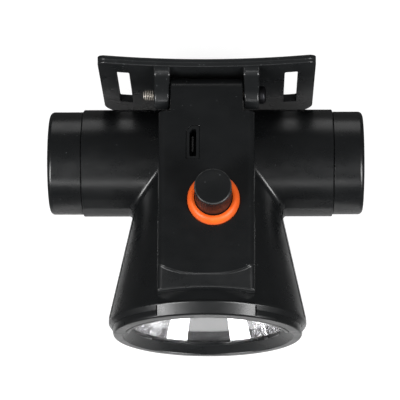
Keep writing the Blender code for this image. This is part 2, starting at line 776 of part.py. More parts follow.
def make_tilt_screw():
    """Long screw on the hinge axis; its bare end stands out of the left ear."""
    head = EAR_OUT + GAP
    top = head + SCREW_HEAD_HEIGHT
    profile = [(0.0, SCREW_LEFT), (SCREW_R - 0.3, SCREW_LEFT), (SCREW_R, SCREW_LEFT + 0.3),
               (SCREW_R, head), (SCREW_HEAD_R, head), (SCREW_HEAD_R, top - 0.5),
               (SCREW_HEAD_R - 0.45, top), (0.0, top)]
    return lathe("tilt_screw", profile, "X", SMALL_ROUND, (HINGE_Y, HINGE_Z))


# ------------------------------------------------------------------- assembly

def make_empty(name, point, parent=None, parent_point=None):
    """Empty at a point of the lamp frame, on the axis of what it carries."""
    empty = bpy.data.objects.new(name, None)
    bpy.context.scene.collection.objects.link(empty)
    if parent is None:
        empty.location = (point + LAMP_ORIGIN) * MM
    else:
        empty.parent = parent
        empty.location = (point - parent_point) * MM
    return empty


def place(obj, name, look, parent, parent_point, own_point=None):
    """Name a piece, give it its material and hang it on its parent at its own origin."""
    own_point = parent_point if own_point is None else own_point
    obj.name = name
    obj.data.name = name
    obj.data.transform(Matrix.Translation(-own_point * MM))
    obj.data.materials.clear()
    obj.data.materials.append(look)
    obj.data.shade_smooth()
    obj.data.set_sharp_from_angle(angle=math.radians(32.0))
    obj.parent = parent
    obj.location = (own_point - parent_point) * MM
    return obj


def build():
    """Model the lamp."""
    for obj in list(bpy.data.objects):
        bpy.data.objects.remove(obj)
    looks = make_materials()

    seat = make_empty("forehead_seat_frame", PLATE_POINT)
    place(make_bracket(), "bracket_plate", looks["bracket"], seat, PLATE_POINT)
    place(make_tilt_screw(), "tilt_screw", looks["steel"], seat, PLATE_POINT, HINGE_POINT)

    tilt = make_empty("tilt_pivot", HINGE_POINT, seat, PLATE_POINT)
    upper, lower = make_housings()
    place(upper, "upper_housing", looks["shell"], tilt, HINGE_POINT)
    place(lower, "lower_housing", looks["shell"], tilt, HINGE_POINT)
    place(make_button_ring(), "button_ring", looks["orange"], tilt, HINGE_POINT, BUTTON_POINT)
    for group in (make_housing_screws(), make_optics(), make_electronics(), make_battery()):
        for name, (obj, look) in group.items():
            place(obj, name, looks[look], tilt, HINGE_POINT)

    press = make_empty("button_guide", BUTTON_POINT, tilt, HINGE_POINT)
    cap, plunger = make_button()
    place(cap, "button_cap", looks["button"], press, BUTTON_POINT)
    place(plunger, "switch_plunger", looks["nickel"], press, BUTTON_POINT)

    negative, positive = make_contacts()
    inside_caps = {
        "left": {"negative_contact": negative, "cell_spring": make_cell_spring()},
        "right": {"positive_contact": positive},
    }
    for label, end in (("left", LEFT_CAP_END), ("right", RIGHT_CAP_END)):
        thread = make_empty(label + "_cap_axis", TUBE_POINT, tilt, HINGE_POINT)
        cap_name = label + "_end_cap"
        gasket_name = label + "_cap_gasket"
        place(make_end_cap(cap_name, end), cap_name, looks["cap"], thread, TUBE_POINT)
        place(make_cap_gasket(gasket_name, end), gasket_name, looks["rubber"], thread, TUBE_POINT)
        for name, obj in inside_caps[label].items():
            place(obj, name, looks["nickel"], thread, TUBE_POINT)


build()
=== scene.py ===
"""Looks of the rechargeable cap lamp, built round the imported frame.

Sizes are in millimetres in the lamp frame: X along the battery tube, -Y out of the
lens, +Z up, with the tube's axis and the lens's axis crossing at (0, 0, 0).  The
frame's boxes say where that crossing lies in the row frame.
"""

import math

import bmesh
import bpy
from mathutils import Matrix, Vector


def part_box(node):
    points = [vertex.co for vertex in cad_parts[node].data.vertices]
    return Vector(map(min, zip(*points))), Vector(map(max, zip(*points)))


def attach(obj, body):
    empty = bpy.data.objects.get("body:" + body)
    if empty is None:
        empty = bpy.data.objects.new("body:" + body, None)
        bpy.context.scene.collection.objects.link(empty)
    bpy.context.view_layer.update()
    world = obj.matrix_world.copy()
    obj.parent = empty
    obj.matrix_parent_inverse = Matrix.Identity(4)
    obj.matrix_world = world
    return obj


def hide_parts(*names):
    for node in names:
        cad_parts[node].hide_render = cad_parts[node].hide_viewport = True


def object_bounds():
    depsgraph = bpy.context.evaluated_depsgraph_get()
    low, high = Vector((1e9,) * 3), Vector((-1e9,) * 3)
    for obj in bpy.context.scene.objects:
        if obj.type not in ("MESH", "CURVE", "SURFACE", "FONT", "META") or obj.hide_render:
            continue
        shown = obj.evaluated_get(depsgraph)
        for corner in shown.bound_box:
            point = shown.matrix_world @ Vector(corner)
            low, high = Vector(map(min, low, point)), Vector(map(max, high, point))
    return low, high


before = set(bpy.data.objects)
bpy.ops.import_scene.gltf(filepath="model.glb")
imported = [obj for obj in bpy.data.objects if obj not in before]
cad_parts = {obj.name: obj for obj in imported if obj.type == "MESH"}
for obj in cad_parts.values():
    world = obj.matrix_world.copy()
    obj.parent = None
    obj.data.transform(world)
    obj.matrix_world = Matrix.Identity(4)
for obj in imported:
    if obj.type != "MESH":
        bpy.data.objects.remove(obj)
cad_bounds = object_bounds()

MM = 0.001


def box_middle(node):
    """Middle of a node's box in millimetres."""
    low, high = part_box(node)
    return (Vector(low) + Vector(high)) / (2.0 * MM)


# ---- driving sizes

CELL_MIDDLE = box_middle("battery_cell")
LAMP_ORIGIN = Vector((0.0, CELL_MIDDLE.y, CELL_MIDDLE.z))


def lamp_point(row_point):
    """Row-frame point in millimetres, as a point of the lamp frame."""
    return row_point - LAMP_ORIGIN


BUTTON = lamp_point(box_middle("button_cap"))
HINGE = lamp_point(box_middle("tilt_screw"))
PORT = lamp_point(box_middle("usb_socket"))

TUBE_R = 13.5
TUBE_HALF = 31.4
NECK_R = 11.6
NECK_END = 35.8
BORE_R = 10.4
CAP_R = 13.0
CAP_GAP = 0.12                  # shadow line between the tube and each cap
CAP_FLOOR = 1.8
CAP_EDGE = 1.15
CAP_DISH_R = 10.2
LAP_TOP = 7.0                   # the upper shell's flat margin on the tube
LAP_Z = 3.6
LAP_PROUD = 0.12
LAP_X = 18.8
SEAM = 0.2

CONE_BACK_R = 15.8
HEAD_REAR_Y = 6.8               # how far the head's domed rear reaches behind the tube's axis
HEAD_FLAT_R = 8.0
BEZEL_R = 24.5
CONE_FRONT_Y = 41.2
BEZEL_FRONT_Y = 42.0
BEZEL_STEP_R = 23.52            # foot of the bevel that leads from the bezel to the rim
BEZEL_STEP_Y = 43.2
MARGIN_TOP = 5.6                # upper edge of the raised margin on the cone
RIM_Y = 45.0
RIM_R = 22.3
UPPER_FRONT_R = 19.8             # edge of the window on the upper shell
LOWER_FRONT_R = 21.4             # and on the lower one, which is cut back to drain
RIM_GROOVE_R = 20.6
WINDOW_R = 18.9
LENS_SEAT_Y = 42.2
LENS_SEAT_R = 20.5
LENS_R = 20.1
LENS_FRONT_Y = 41.9
LENS_BACK_Y = 41.2
REFLECTOR_FRONT_Y = 41.05
BOWL_WIDTH = 18.6               # square of the mirror's radius over its depth
BOWL_VERTEX_Y = 19.8
BOWL_BACK_Y = 21.0
BOWL_FACETS = 22
FLANGE_FRONT_Y = 39.0
FLANGE_BACK_Y = 37.9
WALL = 2.0
CREASE_R = 1.3                  # fillet between the cone and the tube

DECK_Z = 26.0
SPINE_HALF = 11.7
SPINE_EDGE = 1.9
SPINE_REAR_Y = 5.4
SPINE_FOOT_Z = 8.0              # underside of the solids that are joined to the tube
SCALLOP_Y = -35.6
SCALLOP_RISE = 1.95
SCALLOP_AT = 10.5
FASCIA_Y = -38.95
FASCIA_Z = 25.2
FASCIA_SLOPE = 0.15
FASCIA_CROWN_R = 110.0
FASCIA_SWEEP = 0.006             # how fast the lip runs forward towards the sides
LIP_R = 0.95
TAB_R = 25.0
TAB_ROOT_R = 20.5
TAB_BACK_Y = 42.0
TAB_GAP = 0.35
LUG_HALF = 8.8
LUG_FOOT_Y = 9.4
KNUCKLE_R = 4.0

PLATE_FRONT_Y = 16.0
PLATE_THICK = 2.0
PLATE_HALF = 26.75
PLATE_TOP = 27.75
PLATE_BOTTOM = -9.45
PLATE_BEND_R = 290.0
PLATE_CORNER = 5.0
PLATE_TOP_CORNER = 2.0
BEAD_FROM_REAR = 0.95           # step along the plate's top edge
SLOT_X = 20.85
SLOT_WIDTH = 3.3
SLOT_LOW = -0.7
SLOT_HIGH = 21.5
EAR_IN = 9.05
EAR_OUT = 12.85
EAR_R = 3.5
EAR_FLARE_R = 1.9
EAR_HOOK_R = 4.0
GUSSET_LOW_Z = 10.5

SCREW_R = 1.3
SCREW_PITCH = 0.45
THREAD_LENGTH = 7.0
THREAD_DEPTH = 0.42
SCREW_LEFT = -15.6
SCREW_HEAD_X = 12.9
SCREW_HEAD_R = 2.2

BUTTON_R = 4.45
BUTTON_TOP = 36.9
BUTTON_BOTTOM = 23.6
RING_R = 6.3
RING_IN = 4.75
RING_TOP = 28.2
RING_SEAT_Z = 25.1
PORT_WIDE = 3.3
PORT_LONG = 8.6
PORT_BEVEL = 1.3
PORT_LOW_Z = 18.1

BOSS_X = 12.6
BOSS_Y = -17.0
RECESS_R = 2.25
PAN_LOW_Z = -12.65

SMOOTH = 160                    # segments of the large turned surfaces
SMALL = 64


# ---- mesh tools

def arc(centre_u, centre_v, radius, start_deg, end_deg, steps, radius_v=None):
    """Points along a circular arc in a plane, or an elliptical one with two radii."""
    points = []
    for i in range(steps + 1):
        angle = math.radians(start_deg + (end_deg - start_deg) * i / steps)
        points.append((centre_u + radius * math.cos(angle),
                       centre_v + (radius_v or radius) * math.sin(angle)))
    return points


def on_axis(axis, along, u, v):
    """Point with `along` measured on an axis and u, v on the other two, in order."""
    if axis == "X":
        return Vector((along, u, v))
    if axis == "Y":
        return Vector((u, along, v))
    return Vector((u, v, along))


def edge_steps(low, high, edge):
    """Places along an axis and insets that round both edges of a plate from low to high."""
    start = [(low + edge * (1.0 - math.cos(a)), edge * (1.0 - math.sin(a)))
             for a in (math.radians(22.5 * k) for k in range(5))]
    return start + [(low + high - place, inset) for place, inset in reversed(start)]


def rounded_outline(low, high, corner, steps, corners=4):
    """Rectangle's rounded corners, counter-clockwise from the lower left one."""
    centres = ((low[0] + corner, low[1] + corner), (high[0] - corner, low[1] + corner),
               (high[0] - corner, high[1] - corner), (low[0] + corner, high[1] - corner))
    points = []
    for turn, (u, v) in enumerate(centres[:corners]):
        points += arc(u, v, corner, 180.0 + 90.0 * turn, 270.0 + 90.0 * turn, steps)
    return points


def to_object(name, bm):
    """Object in the row frame from a closed bmesh in lamp-frame millimetres."""
    bmesh.ops.recalc_face_normals(bm, faces=bm.faces)
    bm.transform(Matrix.Scale(MM, 4) @ Matrix.Translation(LAMP_ORIGIN))
    mesh = bpy.data.meshes.new(name)
    bm.to_mesh(mesh)
    bm.free()
    obj = bpy.data.objects.new(name, mesh)
    bpy.context.scene.collection.objects.link(obj)
    return obj


def bridge(bm, first, second):
    """Faces between two rings of vertices; a ring of one vertex is a pole."""
    count = max(len(first), len(second))
    for i in range(count):
        j = (i + 1) % count
        corners = [first[i % len(first)], first[j % len(first)],
                   second[j % len(second)], second[i % len(second)]]
        unique = list(dict.fromkeys(corners))
        if len(unique) > 2:
            bm.faces.new(unique)


def lathe(name, profile, axis, segments=SMOOTH, centre=(0.0, 0.0)):
    """Solid of revolution from (radius, distance along the axis) points."""
    bm = bmesh.new()
    rings = []
    for radius, along in profile:
        if radius == 0.0:
            rings.append([bm.verts.new(on_axis(axis, along, *centre))])
            continue
        ring = []
        for i in range(segments):
            angle = 2.0 * math.pi * (i + 0.5) / segments
            u = centre[0] + radius * math.cos(angle)
            v = centre[1] + radius * math.sin(angle)
            ring.append(bm.verts.new(on_axis(axis, along, u, v)))
        rings.append(ring)
    for first, second in zip(rings[:-1], rings[1:]):
        bridge(bm, first, second)
    if len(rings[0]) > 1 and len(rings[-1]) > 1:
        bridge(bm, rings[-1], rings[0])
    return to_object(name, bm)


def loft(name, sections):
    """Solid through closed sections that have equal numbers of points."""
    bm = bmesh.new()
    loops = [[bm.verts.new(point) for point in section] for section in sections]
    for first, second in zip(loops[:-1], loops[1:]):
        bridge(bm, first, second)
    bm.faces.new(loops[0])
    bm.faces.new(loops[-1])
    return to_object(name, bm)


def prism(name, outline, axis, low, high):
    """Outline in the plane across an axis, extruded along it."""
    return loft(name, [[on_axis(axis, along, u, v) for u, v in outline] for along in (low, high)])


def box(name, low, high):
    """Block between two corners."""
    outline = [(low[0], low[1]), (high[0], low[1]), (high[0], high[1]), (low[0], high[1])]
    return prism(name, outline, "Z", low[2], high[2])


def cylinder(name, axis, radius, low, high, centre=(0.0, 0.0), segments=SMALL):
    """Plain round bar, used as a cutter or a core."""
    profile = [(0.0, low), (radius, low), (radius, high), (0.0, high)]
    return lathe(name, profile, axis, segments, centre)


def boolean(target, tool, operation):
    """Apply one Boolean between closed solids to the target and delete the tool."""
    modifier = target.modifiers.new("boolean", "BOOLEAN")
    modifier.operation = operation
    modifier.solver = "MANIFOLD"
    modifier.object = tool
    depsgraph = bpy.context.evaluated_depsgraph_get()
    result = bpy.data.meshes.new_from_object(target.evaluated_get(depsgraph))
    target.modifiers.clear()
    old = target.data
    target.data = result
    bpy.data.meshes.remove(old)
    bpy.data.objects.remove(tool)
    return target


def union(target, *tools):
    """Join tools to the target."""
    for tool in tools:
        boolean(target, tool, "UNION")
    return target


def cut(target, *tools):
    """Cut tools out of the target."""
    for tool in tools:
        boolean(target, tool, "DIFFERENCE")


def soften(obj, width):
    """Small rounded edges wherever faces meet at a clear angle."""
    modifier = obj.modifiers.new("soft edges", "BEVEL")
    modifier.width = width * MM
    modifier.segments = 2
    modifier.limit_method = "ANGLE"
    modifier.angle_limit = math.radians(38.0)
    modifier.miter_outer = "MITER_ARC"


def finish_mesh(obj, smooth_deg=32.0):
    """Smooth shading that keeps real corners sharp, with steady normals on flat faces."""
    obj.data.shade_smooth()
    obj.data.set_sharp_from_angle(angle=math.radians(smooth_deg))
    modifier = obj.modifiers.new("steady normals", "WEIGHTED_NORMAL")
    modifier.keep_sharp = True
    modifier.weight = 80
    return obj


def wear(obj, material, body, slot, *nodes):
    """Give a piece its material and body, and let it stand for its CAD nodes; slot is not used."""
    obj.data.materials.clear()
    obj.data.materials.append(material)
    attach(obj, body)
    if nodes:
        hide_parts(*nodes)


# ---- materials

class Surface:
    """A node material whose colour, roughness and bump are built up from textures."""

    def __init__(self, name):
        self.material = bpy.data.materials.new(name)
        self.material.use_nodes = True
        self.tree = self.material.node_tree
        self.shader = self.tree.nodes["Principled BSDF"]
        self.coords = self.tree.nodes.new("ShaderNodeTexCoord").outputs["Object"]

    def node(self, kind, **values):
        """New node; keyword names are its properties."""
        made = self.tree.nodes.new(kind)
        for key, value in values.items():
            setattr(made, key, value)
        return made

    def link(self, source, target):
        """Join two sockets."""
        self.tree.links.new(source, target)

    def noise(self, size_mm, detail=3.0, roughness=0.55, stretch=(1.0, 1.0, 1.0)):
        """Noise whose features are about size_mm across; returns its factor."""
        mapping = self.node("ShaderNodeMapping")
        mapping.inputs["Scale"].default_value = stretch
        self.link(self.coords, mapping.inputs["Vector"])
        texture = self.node("ShaderNodeTexNoise")
        texture.inputs["Scale"].default_value = 1.0 / (size_mm * MM)
        texture.inputs["Detail"].default_value = detail
        texture.inputs["Roughness"].default_value = roughness
        self.link(mapping.outputs["Vector"], texture.inputs["Vector"])
        return texture.outputs["Fac"]

    def coordinate(self, axis):
        """One coordinate of the surface point, in metres in the row frame."""
        split = self.node("ShaderNodeSeparateXYZ")
        self.link(self.coords, split.inputs["Vector"])
        return split.outputs[axis]

    def calculate(self, kind, operation, *values):
        """Result of a math node; a value is a socket or a constant."""
        made = self.node(kind, operation=operation)
        for socket, value in zip(made.inputs, values):
            if isinstance(value, bpy.types.NodeSocket):
                self.link(value, socket)
            else:
                socket.default_value = value
        return next(output for output in made.outputs if output.enabled)

    def reach(self, place):
        """Distance from an upright line through a point of the lamp frame."""
        vector_math = "ShaderNodeVectorMath"
        offset = self.calculate(vector_math, "SUBTRACT", self.coords, (place + LAMP_ORIGIN) * MM)
        level = self.calculate(vector_math, "MULTIPLY", offset, (1.0, 1.0, 0.0))
        return self.calculate(vector_math, "LENGTH", level)

    def multiply(self, first, second):
        """Product of two numbers."""
        return self.calculate("ShaderNodeMath", "MULTIPLY", first, second)

    def ramp(self, factor, low, high, first, second):
        """Colour that runs from first to second as the factor goes from low to high."""
        ramp = self.node("ShaderNodeValToRGB")
        ramp.color_ramp.elements[0].position = low
        ramp.color_ramp.elements[0].color = (*first, 1.0)
        ramp.color_ramp.elements[1].position = high
        ramp.color_ramp.elements[1].color = (*second, 1.0)
        self.link(factor, ramp.inputs["Fac"])
        return ramp.outputs["Color"]

    def span(self, factor, low, high, first=0.0, second=1.0):
        """Number that runs from first to second as the factor goes from low to high."""
        span = self.node("ShaderNodeMapRange")
        span.inputs["From Min"].default_value = low
        span.inputs["From Max"].default_value = high
        span.inputs["To Min"].default_value = first
        span.inputs["To Max"].default_value = second
        self.link(factor, span.inputs["Value"])
        return span.outputs["Result"]

    def mix(self, factor, first, second):
        """Mix of two colours by a factor socket."""
        mix = self.node("ShaderNodeMix", data_type="RGBA")
        self.link(factor, mix.inputs["Factor"])
        self.link(first, mix.inputs["A"])
        self.link(second, mix.inputs["B"])
        return mix.outputs["Result"]

    def bump(self, height, depth_mm, below=None):
        """Bump of a real depth, on top of another bump if there is one."""
        bump = self.node("ShaderNodeBump")
        bump.inputs["Distance"].default_value = depth_mm * MM
        bump.inputs["Strength"].default_value = 1.0
        self.link(height, bump.inputs["Height"])
        if below is not None:
            self.link(below, bump.inputs["Normal"])
        return bump.outputs["Normal"]

    def set(self, **values):
        """Plain values on the shader; names use _ for spaces."""
        for key, value in values.items():
            self.shader.inputs[key.replace("_", " ")].default_value = value

    def drive(self, socket, source):
        """Textured value on one of the shader's sockets."""
        self.link(source, self.shader.inputs[socket])


def painted_button_edge_highlight(look, colour):
    """Colour with a painted highlight on the round edge of the button's top, which also stands for rub
    wear there.
    """
    begins, complete = 0.36, 0.2    # distances inside the edge, in millimetres
    top = BUTTON_TOP + LAMP_ORIGIN.z
    outer = look.span(look.reach(BUTTON), (BUTTON_R - begins) * MM, (BUTTON_R - complete) * MM)
    upper = look.span(look.coordinate("Z"), (top - begins) * MM, (top - complete) * MM)
    # painted highlight: a paler ring on the button's top edge, partly standing for rub wear
    highlight_tone = look.ramp(look.noise(2.0, 3.0, 0.5), 0.4, 0.6, (0.016, 0.017, 0.017), (0.045, 0.046, 0.046))
    return look.mix(look.multiply(outer, upper), colour, highlight_tone)


def dust_specks(look, share):
    """Mask of small round specks, in patches that cover at most a share of the surface."""
    cells = look.node("ShaderNodeTexVoronoi")
    cells.inputs["Scale"].default_value = 1.0 / (1.3 * MM)
    look.link(look.coords, cells.inputs["Vector"])
    dots = look.span(cells.outputs["Distance"], 0.10, 0.15, 1.0, 0.0)
    level = 0.62 - 0.25 * share
    patches = look.span(look.noise(1.7, 3.0, 0.6), level, level + 0.04)
    return look.multiply(dots, patches)


def moulded_plastic(name, dark, light, roughness, grain_mm=0.32, grain_depth=0.004, specks=0.16,
                    specular=0.5, highlight_paint=None):
    """Spark-textured black plastic with faint mottling, handling shine and dust specks.

    specks is the share of the surface, at most, on which small specks lie; the last argument is a
    function that paints a highlight into the colour, partly standing for wear.
    """
    look = Surface(name)
    cloud = look.noise(9.0, 4.0)
    base = look.ramp(cloud, 0.3, 0.7, dark, light)
    dust = look.ramp(cloud, 0.3, 0.7, light, tuple(5.0 * c + 0.03 for c in light))
    colour = look.mix(dust_specks(look, specks), base, dust)
    look.drive("Base Color", highlight_paint(look, colour) if highlight_paint else colour)
    rub = look.noise(5.0, 5.0, 0.6, (0.6, 1.0, 1.0))
    look.drive("Roughness", look.span(rub, 0.3, 0.7, roughness - 0.05, roughness + 0.06))
    swell = look.bump(look.noise(7.0, 1.0), 0.016)
    look.drive("Normal", look.bump(look.noise(grain_mm, 2.0, 0.6), grain_depth, swell))
    look.set(IOR=1.5, Specular_IOR_Level=specular)
    return look.material


def soft_rubber(name, dark, light, roughness, grain_depth=0.008):
    """Matt moulded rubber with a fine grain and a faint bloom."""
    look = Surface(name)
    cloud = look.noise(3.0, 3.0)
    look.drive("Base Color", look.ramp(cloud, 0.3, 0.72, dark, light))
    fine = look.noise(0.22, 2.0)
    look.drive("Roughness", look.span(cloud, 0.3, 0.7, roughness - 0.04, roughness + 0.08))
    look.drive("Normal", look.bump(fine, grain_depth))
    look.set(Sheen_Weight=0.04, Sheen_Roughness=0.5, Specular_IOR_Level=0.4)
    return look.material


def plated_metal(name, dark, light, roughness, metallic=1.0):
    """Plated steel with fine drawn lines and uneven tarnish."""
    look = Surface(name)
    cloud = look.noise(1.8, 4.0)
    look.drive("Base Color", look.ramp(cloud, 0.3, 0.72, dark, light))
    lines = look.noise(0.5, 3.0, 0.6, (1.0, 6.0, 6.0))
    look.drive("Roughness", look.span(lines, 0.3, 0.7, roughness - 0.07, roughness + 0.1))
    look.drive("Normal", look.bump(lines, 0.003))
    look.set(Metallic=metallic)
    return look.material


def mirror_coating(name):
    """Vacuum-metallised plastic, slightly orange-peeled, with ripples towards both sides."""
    look = Surface(name)
    cloud = look.noise(6.0, 3.0)
    look.drive("Base Color", look.ramp(cloud, 0.2, 0.8, (0.86, 0.85, 0.87), (0.95, 0.94, 0.95)))
    look.drive("Roughness", look.span(cloud, 0.3, 0.7, 0.06, 0.12))
    peel = look.bump(look.noise(1.6, 2.0, 0.5), 0.05)
    across = look.calculate("ShaderNodeMath", "ABSOLUTE", look.coordinate("X"))
    sides = look.span(across, 9.0 * MM, 14.0 * MM)
    ripple = look.multiply(sides, look.noise(1.1, 3.0, 0.6, (1.0, 0.6, 1.0)))
    look.drive("Normal", look.bump(ripple, 0.5, peel))
    look.set(Metallic=1.0)
    return look.material


def clear_window(name):
    """Polished polycarbonate with faint wiping marks."""
    look = Surface(name)
    smear = look.noise(4.0, 4.0, 0.6, (1.0, 1.0, 0.4))
    look.drive("Base Color", look.ramp(smear, 0.2, 0.8, (0.96, 0.97, 0.98), (1.0, 1.0, 1.0)))
    look.drive("Roughness", look.span(smear, 0.35, 0.7, 0.0, 0.03))
    look.set(Transmission_Weight=1.0, IOR=1.49)
    return look.material


def circuit_board(name):
    """Solder mask with copper traces showing faintly through."""
    look = Surface(name)
    blocks = look.node("ShaderNodeTexBrick")
    blocks.inputs["Scale"].default_value = 1.0 / (9.0 * MM)
    blocks.inputs["Color1"].default_value = (0.012, 0.12, 0.05, 1.0)
    blocks.inputs["Color2"].default_value = (0.016, 0.16, 0.065, 1.0)
    blocks.inputs["Mortar"].default_value = (0.05, 0.26, 0.12, 1.0)
    look.link(look.coords, blocks.inputs["Vector"])
    look.drive("Base Color", blocks.outputs["Color"])
    look.drive("Normal", look.bump(blocks.outputs["Fac"], 0.03))
    look.drive("Roughness", look.span(look.noise(2.0), 0.3, 0.7, 0.3, 0.45))
    return look.material


def shrink_wrap(name):
    """Glossy heat-shrunk cell sleeve with slight wrinkles."""
    look = Surface(name)
    cloud = look.noise(8.0, 3.0)
    look.drive("Base Color", look.ramp(cloud, 0.3, 0.7, (0.03, 0.12, 0.36), (0.05, 0.17, 0.45)))
    wrinkle = look.noise(2.5, 3.0, 0.5, (3.0, 1.0, 1.0))
    look.drive("Normal", look.bump(wrinkle, 0.06))
    look.drive("Roughness", look.span(wrinkle, 0.3, 0.7, 0.22, 0.36))
    return look.material


def led_phosphor(name):
    """Yellow phosphor under a clear dome."""
    look = Surface(name)
    grain = look.noise(0.3, 2.0)
    look.drive("Base Color", look.ramp(grain, 0.3, 0.7, (0.78, 0.66, 0.14), (0.9, 0.82, 0.3)))
    look.drive("Roughness", look.span(grain, 0.3, 0.7, 0.3, 0.45))
    look.set(Coat_Weight=0.8, Coat_Roughness=0.05)
    return look.material


def make_looks():
    """Every material by a short name."""
    black = (0.0037, 0.0042, 0.0046)
    soot = (0.0056, 0.0062, 0.0067)
    return {
        "shell": moulded_plastic("moulded shell", black, soot, 0.29),
        "cap": moulded_plastic("moulded caps", black, soot, 0.28),
        "bracket": moulded_plastic("moulded bracket", (0.0068, 0.0075, 0.008),
                                   (0.0108, 0.0117, 0.0124), 0.29, specks=0.8),
        # the button's top edge gets a painted highlight, partly standing for rub wear
        "button": moulded_plastic("matt button", (0.0038, 0.0044, 0.0047), (0.006, 0.0066, 0.007),
                                  0.42, 0.25, 0.008, specular=0.3, highlight_paint=painted_button_edge_highlight),
        "orange": soft_rubber("orange rubber", (0.70, 0.088, 0.006), (0.79, 0.118, 0.01), 0.42),
        "rubber": soft_rubber("black rubber", (0.012, 0.012, 0.012), (0.02, 0.02, 0.02), 0.7),
        "mirror": mirror_coating("reflector coating"),
        "clear": clear_window("clear window"),
        "steel": plated_metal("zinc plated steel", (0.46, 0.42, 0.37), (0.62, 0.58, 0.52), 0.4,
                              metallic=0.6),
        # also used for the painted shade at the roots of the tilt screw's thread
        "oxide_and_thread_shade": plated_metal("oxidised steel and thread shade", (0.02, 0.02, 0.022), (0.04, 0.04, 0.043), 0.42),
        "port": moulded_plastic("port surround", black, soot, 0.36),
        "nickel": plated_metal("nickel plate", (0.5, 0.48, 0.44), (0.66, 0.64, 0.6), 0.28),
        "aluminium": plated_metal("machined aluminium", (0.52, 0.53, 0.54), (0.66, 0.67, 0.68), 0.38),
        "board": circuit_board("circuit board"),
        "cell": shrink_wrap("cell sleeve"),
        "led": led_phosphor("led phosphor"),
        "wire": soft_rubber("wire cover", (0.5, 0.02, 0.015), (0.62, 0.035, 0.025), 0.45, 0.003),
    }


# ---- lamp housing

def cone_radius(forward):
    """Outer radius of the lamp head at a distance forward of the tube's axis."""
    return CONE_BACK_R + (BEZEL_R - CONE_BACK_R) * forward / CONE_FRONT_Y


def head_solid():
    """Outside of the lamp head: cone, short cylinder, bezel band and rounded rim."""
    bulge = CONE_BACK_R - HEAD_FLAT_R
    profile = [(0.0, HEAD_REAR_Y)]
    profile += arc(HEAD_FLAT_R, 0.0, bulge, 90.0, 12.0, 10, HEAD_REAR_Y)
    profile += [(cone_radius(0.0), 0.0), (BEZEL_R, -CONE_FRONT_Y), (BEZEL_R, -BEZEL_FRONT_Y),
                (BEZEL_R - 0.08, -BEZEL_FRONT_Y - 0.15), (BEZEL_STEP_R + 0.18, -BEZEL_STEP_Y + 0.05),
                (BEZEL_STEP_R, -BEZEL_STEP_Y), (BEZEL_STEP_R - 0.07, -BEZEL_STEP_Y - 1.1)]
    profile += arc(RIM_R + 0.5, -RIM_Y + 0.62, 0.6, 0.0, -78.0, 5)
    profile += [(0.0, -RIM_Y)]
    return lathe("head", profile, "Y")


def deck_height(x):
    """Height of the deck with its rounded side edges."""
    over = abs(x) - (SPINE_HALF - SPINE_EDGE)
    if over <= 0.0:
        return DECK_Z
    return DECK_Z - SPINE_EDGE + math.sqrt(max(SPINE_EDGE ** 2 - over ** 2, 0.0))


def spine_stations():
    """X stations across the spine, closer together on its rounded edges."""
    flat = SPINE_HALF - SPINE_EDGE
    stations = [flat * i / 24 for i in range(-24, 25)]
    for i in range(1, 13):
        reach = flat + SPINE_EDGE * math.sin(math.radians(7.5 * i))
        stations = [-reach] + stations + [reach]
    return stations


def fascia_height(x, y):
    """Height of the fascia, nearly flat and sloping gently down to the front."""
    return FASCIA_Z + FASCIA_SLOPE * (y - FASCIA_Y) - x ** 2 / (2.0 * FASCIA_CROWN_R)


def spine_solid():
    """Flat-topped spine; a scalloped step leads down to a fascia with a rounded front lip."""
    sections = []
    for x in spine_stations():
        scallop = SCALLOP_Y + SCALLOP_RISE * (abs(x) / SCALLOP_AT) ** 3
        top = deck_height(x)
        lip_y = FASCIA_Y - FASCIA_SWEEP * x ** 2
        lip = min(fascia_height(x, lip_y), top - 0.6)
        foot = min(fascia_height(x, scallop), top - 0.3)
        step = top - foot
        section = [(SPINE_REAR_Y, SPINE_FOOT_Z), (SPINE_REAR_Y, top - 0.5),
                   (SPINE_REAR_Y - 0.15, top - 0.15), (SPINE_REAR_Y - 0.5, top), (scallop + 0.3, top)]
        section += [(scallop + 0.12, top - 0.15 * step), (scallop, top - 0.5 * step),
                    (scallop - 0.15, top - 0.9 * step), (scallop - 0.35, foot - 0.07)]
        section += arc(lip_y + LIP_R, lip - LIP_R, LIP_R, 99.0, 180.0, 6)
        section += [(lip_y, SPINE_FOOT_Z)]
        sections.append([Vector((x, y, z)) for y, z in section])
    return loft("spine", sections)


def lug_solid():
    """Rear lug whose knuckle turns between the bracket's ears."""
    outline = [(0.0, SPINE_FOOT_Z + 2.0), (0.0, DECK_Z), (HINGE.y, DECK_Z)]
    outline += arc(HINGE.y, HINGE.z, KNUCKLE_R, 90.0, -90.0, 32)[1:]
    outline += [(LUG_FOOT_Y + 0.2, HINGE.z - KNUCKLE_R - 1.0), (LUG_FOOT_Y, SPINE_FOOT_Z),
                (LUG_FOOT_Y - 3.4, SPINE_FOOT_Z)]
    middle = Vector((0.0, 5.0, 17.0))
    half_height = DECK_Z - middle.z
    sections = []
    for x, inset in edge_steps(-LUG_HALF, LUG_HALF, 0.35):
        section = []
        for y, z in outline:
            offset = Vector((0.0, y, z)) - middle
            shrunk = middle + offset * (1.0 - inset / half_height)
            section.append(Vector((x, shrunk.y, shrunk.z)))
        sections.append(section)
    return loft("lug", sections)


def tab_solid():
    """Raised block that carries the spine's line across the grooved bezel."""
    back = TAB_BACK_Y - 0.2
    profile = [(TAB_ROOT_R, -back), (TAB_R - 0.3, -back), (TAB_R, -TAB_BACK_Y),
               (TAB_R, -TAB_BACK_Y - 0.25), (TAB_R - 0.12, -TAB_BACK_Y - 0.45),
               (RIM_R + 1.25, -RIM_Y + 0.3), (RIM_R + 0.75, -RIM_Y + 0.05), (RIM_R, -RIM_Y),
               (TAB_ROOT_R, -RIM_Y)]
    tab = lathe("tab", profile, "Y")
    limits = box("tab_limits", (-SPINE_HALF, -50.0, 10.0), (SPINE_HALF, -40.0, 30.0))
    return boolean(tab, limits, "INTERSECT")


